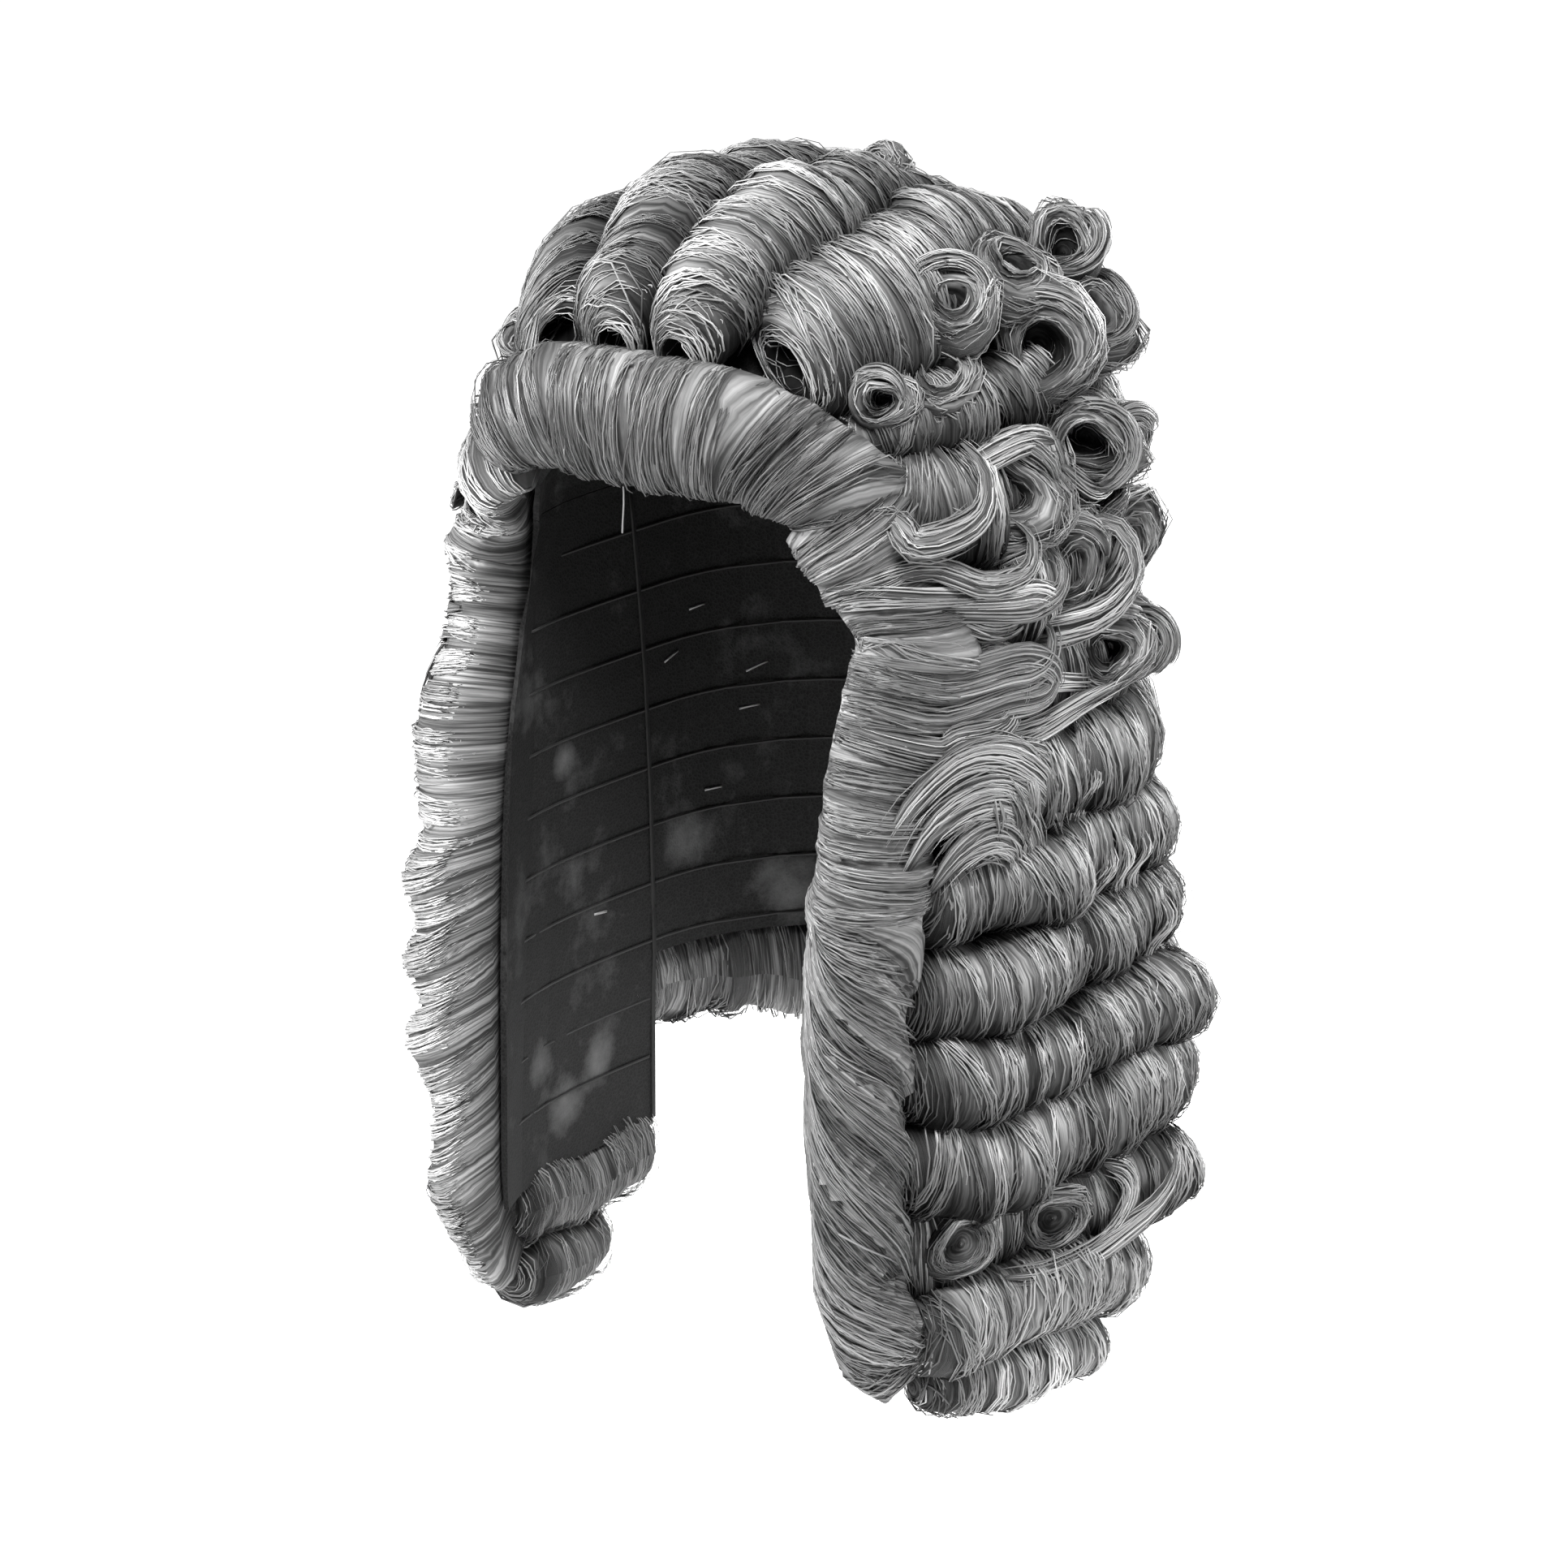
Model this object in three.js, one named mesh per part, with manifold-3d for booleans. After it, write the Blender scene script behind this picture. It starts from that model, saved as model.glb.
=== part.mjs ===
// A full-bottomed colonial wig: a black net cap with two long lappets, and rows of hair rolls sewn on it.
// Millimetres, +Z up, front towards -Y, the wearer's left towards +X.
// The origin is the top of the head, on the inside of the net.
import * as THREE from "three";
import { mergeVertices } from "three/addons/utils/BufferGeometryUtils.js";
import Module from "manifold-3d";

const wasm = await Module();
wasm.setup();

// Driving sizes of the net.
const netWall = 2;
const widestZ = -103;
const crownRise = -widestZ + netWall;
const backPower = 2.2;
const netBottomZ = -365;
const backHemZ = -294;
const crownSeamZ = -100;
const seamGap = 0.3;

// Driving sizes of the hair.
const seat = 0.85;
const bandSeat = 0.9;
const rowGap = 0.6;
const stepLength = 18;
const hemDepth = 8;
const hemGap = 0.5;
const bandBack = 29;
const sideEndY = 45;
const hangingTopZ = -330;
const crownFrontY = -92;
const crownBackY = 42;
const curlFrontY = -80;
const backTopZ = -58;
const archHalfWidth = 66;
const bandTopZ = -84;
const bandBottomZ = -399;

// Plan sections of the outside of the net, widest level first. The front is squarer than the back.
const netSections = [
  { z: -103, halfWidth: 86, front: 105, back: 82, squareness: 4.5 },
  { z: -118, halfWidth: 86, front: 115, back: 82.5, squareness: 4.5 },
  { z: -143, halfWidth: 86, front: 124, back: 84, squareness: 4 },
  { z: -178, halfWidth: 86.5, front: 133, back: 86, squareness: 3.6 },
  { z: -228, halfWidth: 89, front: 140, back: 90, squareness: 3.2 },
  { z: -308, halfWidth: 95, front: 139, back: 95, squareness: 2.9 },
  { z: -420, halfWidth: 98, front: 138, back: 98, squareness: 2.8 },
];

// Front edge of the net seen from the side, from the middle of the forehead to the tip of a lappet.
const frontEdge = [
  { z: -63, y: -103 },
  { z: -68, y: -100 },
  { z: -76, y: -95 },
  { z: -88, y: -90 },
  { z: -102, y: -86 },
  { z: -118, y: -85 },
  { z: -138, y: -90 },
  { z: -168, y: -99 },
  { z: -208, y: -106 },
  { z: -258, y: -109 },
  { z: -353, y: -106 },
  { z: -386, y: -97 },
  { z: -408, y: -76 },
];

// Seam between a side panel and the back panel, seen from the side.
const sideSeam = [
  { z: crownSeamZ, y: -20 },
  { z: backHemZ, y: 3 },
  { z: netBottomZ, y: 5 },
];

// Rolls on the crown, by their angle from the middle plane, and their depth of hair from front to back.
const crownRolls = [
  { name: "crown_roll_1", from: -36.5, to: -17.5, depth: [36, 42, 41, 34, 30] },
  { name: "crown_roll_2", from: -17.5, to: 0, depth: [36, 41, 37, 28, 20] },
  { name: "crown_roll_3", from: 0, to: 17.5, depth: [36, 41, 37, 28, 20] },
  { name: "crown_roll_4", from: 17.5, to: 36.5, depth: [36, 42, 41, 34, 30] },
];

// Short curls above the ear, in two tiers, each cut into curls at a depth behind the forehead.
const templeTiers = [
  { from: 36.5, to: 49.5, depth: [[38, 42], [42, 36]], cuts: [curlFrontY, -28, crownBackY] },
  { from: 49.5, to: 64, depth: [[41, 34], [34, 30]], cuts: [curlFrontY, -36, crownBackY] },
];
const templeFoot = templeTiers.at(-1).to;

// Rows down the side. A row with a cut is two rolls. The lowest rows hang free behind the net,
// so their feet end before their backs do. Those of the right lappet, which is narrower, end sooner.
const sideRows = [
  { name: "side_roll", top: null, bottom: -92, depth: [38, 26, 23], cut: -34 },
  { name: "side_roll", top: -92, bottom: -125, depth: [34, 26, 24], cut: -8 },
  { name: "side_roll", top: -125, bottom: -160, depth: [34, 28, 26] },
  { name: "lappet_roll", top: -160, bottom: -197, depth: [37, 34, 32] },
  { name: "lappet_roll", top: -197, bottom: -230, depth: [38, 36, 34] },
  { name: "lappet_roll", top: -230, bottom: -262, depth: [38, 38, 37] },
  { name: "lappet_roll", top: -262, bottom: -294, depth: [38, 39, 40] },
  { name: "lappet_roll", top: -294, bottom: -330, depth: [37, 39, 40] },
  { name: "lappet_roll", top: -330, bottom: -362, depth: [38, 40],
    start: 2, end: 50, footEnd: 8, rightEnd: 14 },
  { name: "lappet_roll", top: netBottomZ - hemGap, bottom: -391, depth: [30, 32],
    start: -60, end: 34, footEnd: 4, rightEnd: 10, inner: -hemDepth },
  { name: "lappet_roll", top: -391, bottom: -416, depth: [25, 27],
    start: -56, end: 12, footEnd: -24, rightEnd: -18, inner: -hemDepth },
];

// Rows across the back, from the crown to the hem.
const backRows = [
  { top: null, bottom: backTopZ, depth: 28, feet: 7 },
  { top: backTopZ, bottom: -92, depth: 22 },
  { top: -92, bottom: -125, depth: 22 },
  { top: -125, bottom: -160, depth: 24 },
  { top: -160, bottom: -197, depth: 27 },
  { top: -197, bottom: -230, depth: 29 },
  { top: -230, bottom: -262, depth: 31 },
  { top: -262, bottom: -293, depth: 32 },
  { top: backHemZ - hemGap, bottom: -330, depth: 32, inner: -hemDepth },
];

// Two flat pin curls low on each lappet, and the outline of one from its foot to its dimple.
const pinCurls = [
  { y: -63, z: -345 },
  { y: -16, z: -345 },
];
const pinOutline = [
  { radius: 13, out: 0.8 },
  { radius: 15, out: 12 },
  { radius: 15, out: 28 },
  { radius: 12.5, out: 35 },
  { radius: 8, out: 36.5 },
  { radius: 3.5, out: 31 },
];

// Sections of the brushed hair along the front edge: along the net from its edge, and out from it.
const fringeSection = [
  { along: 0, out: 0 },
  { along: -5, out: 6 },
  { along: -6, out: 13 },
  { along: 0, out: 20 },
  { along: 11, out: 23 },
  { along: 22, out: 21 },
  { along: 29, out: 13 },
  { along: 30, out: 0 },
  { along: 22, out: 0 },
  { along: 15, out: 0 },
  { along: 7, out: 0 },
];
const fringeWidth = { middle: 1.45, end: 0.75 };
const fringeHeight = { middle: 1, end: 1.4 };
const bandSection = [
  { along: 0, out: 0 },
  { along: -7, out: 8 },
  { along: -9, out: 18 },
  { along: -5, out: 28 },
  { along: 6, out: 35 },
  { along: 18, out: 36 },
  { along: 25, out: 29 },
  { along: 27, out: 0 },
  { along: 13, out: 0 },
];

// How far the front band stands out at each height, as a share of its section.
const bandFullness = [
  { z: -84, share: 1.1 },
  { z: -140, share: 1.15 },
  { z: -200, share: 1.03 },
  { z: -250, share: 1 },
  { z: -300, share: 0.95 },
  { z: -340, share: 0.75 },
  { z: -402, share: 0.55 },
];

const hairGrey = { color: 0x8a8a8a, roughness: 0.55, metalness: 0 };
const netBlack = { color: 0x171717, roughness: 0.85, metalness: 0 };

const lerp = THREE.MathUtils.lerp;
const degrees = THREE.MathUtils.degToRad;
const point = (x, y, z) => new THREE.Vector3(x, y, z);
const evenly = (from, to, steps) => Array.from({ length: steps + 1 }, (_, i) => lerp(from, to, i / steps));

// Row of a table at a height, worked out between the rows above and below it.
function between(table, z) {
  const last = table.length - 2;
  let i = 0;
  while (i < last && z < table[i + 1].z) i++;
  const share = THREE.MathUtils.clamp((z - table[i].z) / (table[i + 1].z - table[i].z), 0, 1);
  const row = {};
  for (const column in table[i]) row[column] = lerp(table[i][column], table[i + 1][column], share);
  return row;
}

// The net as a level: 1 on its outside, less within. An inset gives the inside of its wall.
function netLevel(p, inset = 0) {
  const { halfWidth, front, back, squareness } = between(netSections, p.z);
  const power = p.y < 0 ? squareness : backPower;
  const reach = (p.y < 0 ? front : back) - inset;
  const rise = Math.max(0, p.z - widestZ) / (crownRise - inset);
  return Math.hypot(p.x / (halfWidth - inset), rise) ** power + (Math.abs(p.y) / reach) ** power;
}

const probe = 0.4;
const axes = [point(1, 0, 0), point(0, 1, 0), point(0, 0, 1)];

function netGradient(p) {
  const slope = (axis) => {
    const ahead = netLevel(p.clone().addScaledVector(axis, probe));
    const behind = netLevel(p.clone().addScaledVector(axis, -probe));
    return (ahead - behind) / (2 * probe);
  };
  return point(...axes.map(slope));
}

const netNormal = (p) => netGradient(p).normalize();

// The nearest point of the net's outside, by a few Newton steps.
function ontoNet(p) {
  const foot = p.clone();
  for (let step = 0; step < 8; step++) {
    const gradient = netGradient(foot);
    foot.addScaledVector(gradient, (1 - netLevel(foot)) / gradient.lengthSq());
  }
  return foot;
}

// A point that stands off a foot. Behind the ear the lowest rows hang flat, square to the middle plane.
const standOff = (foot, out, normal = netNormal(foot)) => foot.clone().addScaledVector(normal, out);
const flatNormal = (foot) => netNormal(sidePoint(Math.min(foot.y, 0), foot.z));

// How wide the net is at a depth, as a share of its half width.
function girth(y, z) {
  const { front, back, squareness } = between(netSections, z);
  const power = y < 0 ? squareness : backPower;
  const reach = y < 0 ? front : back;
  return Math.max(0, 1 - (Math.abs(y) / reach) ** power) ** (1 / power);
}

function sidePoint(y, z) {
  const { halfWidth } = between(netSections, z);
  const rise = Math.max(0, z - widestZ) / crownRise;
  return point(halfWidth * Math.sqrt(Math.max(0, girth(y, z) ** 2 - rise ** 2)), y, z);
}

function backPoint(x, z) {
  const { halfWidth, back } = between(netSections, z);
  const rise = Math.max(0, z - widestZ) / crownRise;
  const share = Math.hypot(x / halfWidth, rise);
  return point(x, back * Math.max(0, 1 - share ** backPower) ** (1 / backPower), z);
}

function crownPoint(y, angle) {
  const share = girth(y, widestZ);
  const halfWidth = netSections[0].halfWidth;
  const turn = degrees(angle);
  return point(halfWidth * share * Math.sin(turn), y, widestZ + crownRise * share * Math.cos(turn));
}

const edgeCurve = new THREE.SplineCurve(frontEdge.map(({ y, z }) => new THREE.Vector2(y, z)));
const edgeY = (z) => between(frontEdge, z).y;

// The point of the front edge that lies a distance from the middle plane, on the arch over the face.
function archPoint(x) {
  let low = 0;
  let high = 0.35;
  for (let step = 0; step < 30; step++) {
    const middle = (low + high) / 2;
    const at = edgeCurve.getPoint(middle);
    if (sidePoint(at.x, at.y).x < Math.abs(x)) low = middle;
    else high = middle;
  }
  const at = edgeCurve.getPoint(low);
  return point(x, at.x, at.y);
}

// A closed body through rings of points, with a fan over each end.
function loft(rings) {
  const count = rings[0].length;
  const middle = (ring) => ring.reduce((sum, p) => sum.add(p), point(0, 0, 0)).divideScalar(count);
  const vertices = [...rings.flat(), middle(rings[0]), middle(rings.at(-1))];
  const firstHub = rings.length * count;
  const lastRing = (rings.length - 1) * count;
  const triangles = [];
  for (let j = 0; j < count; j++) {
    const next = (j + 1) % count;
    for (let i = 0; i < lastRing; i += count) {
      triangles.push([i + j, i + next, i + count + next], [i + j, i + count + next, i + count + j]);
    }
    triangles.push([firstHub, next, j], [firstHub + 1, lastRing + j, lastRing + next]);
  }
  return facingOut(vertices, triangles);
}

function facingOut(vertices, triangles) {
  const part = ([a, b, c]) => vertices[a].dot(vertices[b].clone().cross(vertices[c]));
  const volume = triangles.reduce((sum, triangle) => sum + part(triangle), 0);
  const index = volume < 0 ? triangles.map(([a, b, c]) => [a, c, b]) : triangles;
  const geometry = new THREE.BufferGeometry().setFromPoints(vertices).setIndex(index.flat());
  geometry.computeVertexNormals();
  return geometry;
}

// A size that changes along a roll, from a list of its values.
function alongList(list, u) {
  const at = u * (list.length - 1);
  const i = Math.min(Math.floor(at), list.length - 2);
  return list.length === 1 ? list[0] : lerp(list[i], list[i + 1], at - i);
}

// A roll of hair on the net: surface(u, v) is its foot, u along the roll and v across it.
// Its back is round, its sides meet the next rolls in a valley, and its ends are drawn in.
const across = [0, 0.18, 0.5, 0.82, 1];
const valleyShare = 0.5;
const endShare = 0.8;
const endStep = 0.06;

function roll(surface, depths, { inner = seat, feet = 3, footShare = 1, normal = netNormal } = {}) {
  const steps = Math.ceil(surface(0, 0.5).distanceTo(surface(1, 0.5)) / stepLength);
  const stations = [0, endStep];
  for (let i = 1; i < steps; i++) stations.push(lerp(endStep, 1 - endStep, i / steps));
  stations.push(1 - endStep, 1);
  const rings = stations.map((u, i) => {
    const isEnd = i === 0 || i === stations.length - 1;
    const crest = alongList(depths, u) * (isEnd ? endShare : 1);
    const round = (v) => valleyShare + (1 - valleyShare) * Math.sin(Math.PI * v) ** 0.7;
    const stand = (along, v, out) => {
      const foot = surface(along, v);
      return standOff(foot, out, normal(foot));
    };
    const top = across.map((v) => stand(u, v, crest * round(v)));
    const under = evenly(1, 0, feet - 1).map((v) => stand(u * footShare, v, inner));
    return [...top, ...under];
  });
  return loft(rings);
}

// Feet of the different rolls, each kept half a row gap inside its share of the net.
const tilt = (rowGap / 2 / crownRise) * THREE.MathUtils.RAD2DEG;

const crownFoot = (y0, y1, from, to) => (u, v) =>
  crownPoint(lerp(y0, y1 - rowGap, u), lerp(from + tilt, to - tilt, v));

const sideFoot = (start, end, top, bottom) => (u, v) => {
  if (top === null) {
    const y = lerp(start(bottom), end, u);
    return sidePoint(y, lerp(crownPoint(y, templeFoot).z - rowGap, bottom + rowGap / 2, v));
  }
  const z = lerp(top - rowGap / 2, bottom + rowGap / 2, v);
  const y = lerp(start(z), end, u);
  return sidePoint(top <= hangingTopZ ? Math.min(y, 0) : y, z).setY(y);
};

// The topmost back row starts where the crown rolls end, drawn in from the curls at the temples.
const backTurn = degrees(65);
const backTopInset = 8;

function crownEndZ(x) {
  const across = x / netSections[0].halfWidth;
  const share = Math.sqrt(Math.max(0, girth(crownBackY, widestZ) ** 2 - across ** 2));
  return widestZ + crownRise * share;
}

const backFoot = (top, bottom) => (u, v) => {
  const shareX = Math.sin(lerp(-backTurn, backTurn, u)) / Math.sin(backTurn);
  if (top === null) {
    const x = shareX * (crownPoint(crownBackY, templeFoot).x - backTopInset);
    return backPoint(x, lerp(crownEndZ(x) - 1, bottom + rowGap / 2, v));
  }
  const z = lerp(top - rowGap / 2, bottom + rowGap / 2, v);
  return backPoint(shareX * (sidePoint(sideEndY, z).x - rowGap), z);
};

// A sweep of brushed hair along the front edge, its section laid over the net at each place.
function brushed(places, section, size) {
  const rings = places.map((place, i) => {
    const ahead = places[Math.min(i + 1, places.length - 1)];
    const behind = places[Math.max(i - 1, 0)];
    const along = ahead.clone().sub(behind).normalize();
    const inward = netNormal(place).cross(along).normalize();
    if (inward.y < 0) inward.negate();
    const { width, height } = size(place);
    return section.map((corner) => {
      const foot = ontoNet(place.clone().addScaledVector(inward, corner.along * width));
      return standOff(foot, corner.out > 0 ? corner.out * height : bandSeat);
    });
  });
  return loft(rings);
}

function fringe() {
  const places = evenly(-archHalfWidth, archHalfWidth, 10).map(archPoint);
  const size = (place) => ({
    width: lerp(fringeWidth.middle, fringeWidth.end, (place.x / archHalfWidth) ** 2),
    height: lerp(fringeHeight.middle, fringeHeight.end, (place.x / archHalfWidth) ** 2),
  });
  return brushed(places, fringeSection, size);
}

function edgeBand() {
  const places = evenly(bandTopZ, bandBottomZ, 14).map((z) => sidePoint(edgeY(z), z));
  const size = (place) => ({ width: 1, height: between(bandFullness, place.z).share });
  return brushed(places, bandSection, size);
}

function pinCurl({ y, z }) {
  const foot = sidePoint(y, z);
  const normal = netNormal(foot);
  const level = point(0, 0, 1).cross(normal).normalize();
  const upright = normal.clone().cross(level);
  const sides = 10;
  const rings = pinOutline.map(({ radius, out }) =>
    evenly(0, 2 * Math.PI, sides).slice(0, sides).map((turn) =>
      foot.clone()
        .addScaledVector(normal, out)
        .addScaledVector(level, radius * Math.cos(turn))
        .addScaledVector(upright, radius * Math.sin(turn))));
  return loft(rings);
}

// The bell of the net: an outer and an inner skin, closed along its lower rim.
function bell() {
  const turns = 40;
  const levels = [0, 0.35, 0.62, 0.82, 0.95, 1];
  const heights = [...evenly(widestZ, netBottomZ, 7)].slice(1);
  const skin = (inset) => {
    const rings = [];
    for (const level of levels.slice(1)) {
      const z = widestZ + (crownRise - inset) * Math.cos((level * Math.PI) / 2);
      rings.push(ringAt(level < 1 ? z : widestZ, inset, turns));
    }
    for (const z of heights) rings.push(ringAt(z, inset, turns));
    return rings;
  };
  const outer = skin(0);
  const inner = skin(netWall).reverse();
  return loft([...outer, ...inner]);
}

// One level ring of the net, found along rays from the middle.
function ringAt(z, inset, turns) {
  return evenly(0, 2 * Math.PI, turns).slice(0, turns).map((turn) => {
    const ray = point(Math.sin(turn), -Math.cos(turn), 0);
    let near = 0;
    let far = 200;
    for (let step = 0; step < 40; step++) {
      const middle = (near + far) / 2;
      const at = ray.clone().multiplyScalar(middle).setZ(z);
      if (netLevel(at, inset) < 1) near = middle;
      else far = middle;
    }
    return ray.multiplyScalar(near).setZ(z);
  });
}

function solid(geometry) {
  const bare = geometry.clone();
  bare.deleteAttribute("normal");
  bare.deleteAttribute("uv");
  const merged = mergeVertices(bare, 1e-4);
  const vertProperties = new Float32Array(merged.attributes.position.array);
  const triVerts = new Uint32Array(merged.index.array);
  return new wasm.Manifold(new wasm.Mesh({ numProp: 3, vertProperties, triVerts }));
}

function geometryOf(body) {
  const { vertProperties, triVerts } = body.getMesh();
  const geometry = new THREE.BufferGeometry();
  geometry.setAttribute("position", new THREE.BufferAttribute(vertProperties, 3));
  geometry.setIndex(new THREE.BufferAttribute(triVerts, 1));
  geometry.computeVertexNormals();
  return geometry;
}

// A block whose side view is an outline of depth and height, between two distances from the middle plane.
function sideBlock(outline, fromX, toX) {
  const block = new THREE.ExtrudeGeometry(outline, { depth: toX - fromX, bevelEnabled: false });
  const depthToY = new THREE.Matrix4().makeBasis(axes[1], axes[2], axes[0]);
  block.applyMatrix4(depthToY).translate(fromX, 0, 0);
  return solid(block);
}

const far = 300;
const onView = (y, z) => new THREE.Vector2(y, z);
const edgeLine = (from, to, steps) => evenly(from, to, steps).map((z) => onView(edgeY(z), z));

function crownOutline() {
  const low = crownSeamZ + seamGap / 2;
  const brow = frontEdge[0].z;
  const corners = [onView(far, far), onView(far, low), ...edgeLine(low, brow, 6)];
  return new THREE.Shape([...corners, onView(-far, brow), onView(-far, far)]);
}

function sideOutline() {
  const high = crownSeamZ - seamGap / 2;
  const low = netBottomZ;
  const [top, hem, tip] = sideSeam;
  const seam = [onView(tip.y, low), onView(hem.y, hem.z), onView(top.y, high)];
  return new THREE.Shape([...edgeLine(high, low, 16), ...seam]);
}

function backOutline() {
  const high = crownSeamZ - seamGap / 2;
  const low = backHemZ;
  const [top, hem] = sideSeam;
  const seam = [onView(top.y + seamGap, high), onView(hem.y + seamGap, low)];
  return new THREE.Shape([...seam, onView(far, low), onView(far, high)]);
}

const wig = new THREE.Group();

function add(name, geometry, finish) {
  const mesh = new THREE.Mesh(geometry, new THREE.MeshStandardMaterial(finish));
  mesh.name = name;
  wig.add(mesh);
}

// The mirror image of a piece on the other side of the head, facing out again.
function mirrored(geometry) {
  const other = geometry.clone().scale(-1, 1, 1);
  const index = other.index.array;
  for (let i = 0; i < index.length; i += 3) {
    [index[i + 1], index[i + 2]] = [index[i + 2], index[i + 1]];
  }
  other.computeVertexNormals();
  return other;
}

function addPair(name, geometry, finish, number = "", rightGeometry = geometry) {
  const suffix = number && `_${number}`;
  add(`${name}_left${suffix}`, geometry, finish);
  add(`${name}_right${suffix}`, mirrored(rightGeometry), finish);
}

// The net panels, cut from one bell.
const netBell = solid(bell());
const sidePanel = netBell.intersect(sideBlock(sideOutline(), 0, far));
add("crown_net", geometryOf(netBell.intersect(sideBlock(crownOutline(), -far, far))), netBlack);
add("back_net", geometryOf(netBell.intersect(sideBlock(backOutline(), -far, far))), netBlack);
addPair("side_net", geometryOf(sidePanel), netBlack);

// The brushed hair along the front edge.
add("fringe", fringe(), hairGrey);
addPair("edge_band", edgeBand(), hairGrey);

// The rolls of the crown and the curls at the temples.
for (const { name, from, to, depth } of crownRolls) {
  add(name, roll(crownFoot(crownFrontY, crownBackY, from, to), depth), hairGrey);
}
let curlNumber = 0;
for (const { from, to, depth, cuts } of templeTiers) {
  for (let i = 0; i + 1 < cuts.length; i++) {
    curlNumber++;
    addPair("temple_curl", roll(crownFoot(cuts[i], cuts[i + 1], from, to), depth[i]), hairGrey, curlNumber);
  }
}

// The rows down the sides, with the pin curls in the lowest row but two.
const numbers = {};
for (const { name, top, bottom, depth, cut, start, end = sideEndY, ...hanging } of sideRows) {
  const front = start === undefined ? (z) => edgeY(z) + bandBack : () => start;
  const cuts = cut === undefined ? [front, end] : [front, cut, end];
  for (let i = 0; i + 1 < cuts.length; i++) {
    const from = i === 0 ? front : () => cuts[i] + rowGap;
    const depths = cut === undefined ? depth : depth.slice(i, i + 2);
    numbers[name] = (numbers[name] ?? 0) + 1;
    const { footEnd, rightEnd, inner } = hanging;
    const rollTo = (last) => {
      const footShare = footEnd === undefined ? 1 : (footEnd - start) / (last - start);
      const normal = footEnd === undefined ? netNormal : flatNormal;
      return roll(sideFoot(from, last, top, bottom), depths, { inner, footShare, normal });
    };
    addPair(name, rollTo(cuts[i + 1]), hairGrey, numbers[name], rollTo(rightEnd ?? cuts[i + 1]));
  }
}
pinCurls.forEach((place, i) => addPair("pin_curl", pinCurl(place), hairGrey, i + 1));

// The rows across the back.
backRows.forEach(({ top, bottom, depth, inner, feet }, i) => {
  add(`back_roll_${i + 1}`, roll(backFoot(top, bottom), [depth], { inner, feet }), hairGrey);
});

export default wig;
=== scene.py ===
import math

import bmesh
import bpy
import numpy as np
from mathutils import Matrix, Vector


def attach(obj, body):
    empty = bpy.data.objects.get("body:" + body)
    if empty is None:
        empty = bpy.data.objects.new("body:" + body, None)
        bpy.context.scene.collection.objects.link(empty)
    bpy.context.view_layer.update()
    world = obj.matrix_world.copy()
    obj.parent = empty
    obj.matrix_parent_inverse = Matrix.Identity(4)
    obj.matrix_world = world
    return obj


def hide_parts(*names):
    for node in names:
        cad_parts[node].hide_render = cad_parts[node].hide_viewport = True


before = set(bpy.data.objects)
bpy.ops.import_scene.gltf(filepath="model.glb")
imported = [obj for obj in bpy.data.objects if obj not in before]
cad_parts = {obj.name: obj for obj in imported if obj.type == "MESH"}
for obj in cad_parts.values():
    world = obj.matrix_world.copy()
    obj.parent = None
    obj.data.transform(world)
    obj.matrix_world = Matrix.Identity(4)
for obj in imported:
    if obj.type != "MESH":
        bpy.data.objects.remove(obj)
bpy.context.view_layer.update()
mm = 0.001
fullTurn = 2 * math.pi
bothSides = ((1, "left"), (-1, "right"))
dice = np.random.default_rng(41)
print("frame loaded,", len(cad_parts), "nodes")

# The net that every row of hair is sewn to, in mm, lowest level first
netForm = {
    "z": [-420, -308, -228, -178, -143, -118, -103],
    "halfWidth": [98, 95, 89, 86.5, 86, 86, 86],
    "front": [138, 139, 140, 133, 124, 115, 105],
    "back": [98, 95, 90, 86, 84, 82.5, 82],
    "squareness": [2.8, 2.9, 3.2, 3.6, 4, 4.5, 4.5],
    "backPower": 2.2,
    "widestZ": -103,
    "crownRise": 105,
    "edgeZ": [-408, -386, -353, -258, -208, -168, -138, -118, -102, -88, -76, -68, -63],
    "edgeY": [-76, -97, -106, -109, -106, -99, -90, -85, -86, -90, -95, -100, -103],
    "seamZ": [-365, -294, -100],
    "seamY": [5, 3, -20],
    "slopeStep": 0.4,
    "footSteps": 6,
    "gap": 1.4,   # nothing of a curl comes closer to the net than this
}


def lerp(a, b, share):
    return a + (b - a) * share


def smooth(low, high, value):  # eased 0 to 1 between two values
    t = np.clip((value - low) / (high - low), 0, 1)
    return t * t * (3 - 2 * t)


def points(x, y, z):
    return np.stack(np.broadcast_arrays(x, y, z), axis=-1).astype(float)


def pathLength(line):
    return float(np.linalg.norm(np.diff(line, axis=0), axis=1).sum())


def netSize(column, z):
    return np.interp(z, netForm["z"], netForm[column])


def edgeY(z):
    return np.interp(z, netForm["edgeZ"], netForm["edgeY"])


def netRise(z):
    return np.maximum(0, z - netForm["widestZ"]) / netForm["crownRise"]


def netReach(y, z):  # how square the net is in plan, and how far it reaches
    power = np.where(y < 0, netSize("squareness", z), netForm["backPower"])
    return power, np.where(y < 0, netSize("front", z), netSize("back", z))


def netLevel(p):  # 1 on the net, more outside it
    x, y, z = p[..., 0], p[..., 1], p[..., 2]
    power, reach = netReach(y, z)
    across = np.hypot(x / netSize("halfWidth", z), netRise(z))
    return across ** power + (np.abs(y) / reach) ** power


def netSlope(p):
    slope = np.empty_like(p)
    for axis in range(3):
        step = np.zeros(3)
        step[axis] = netForm["slopeStep"]
        slope[..., axis] = (netLevel(p + step) - netLevel(p - step)) / (2 * netForm["slopeStep"])
    return slope


def unit(v):
    return v / np.maximum(np.linalg.norm(v, axis=-1, keepdims=True), 1e-9)


def netNormal(p):
    return unit(netSlope(p))


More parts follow.
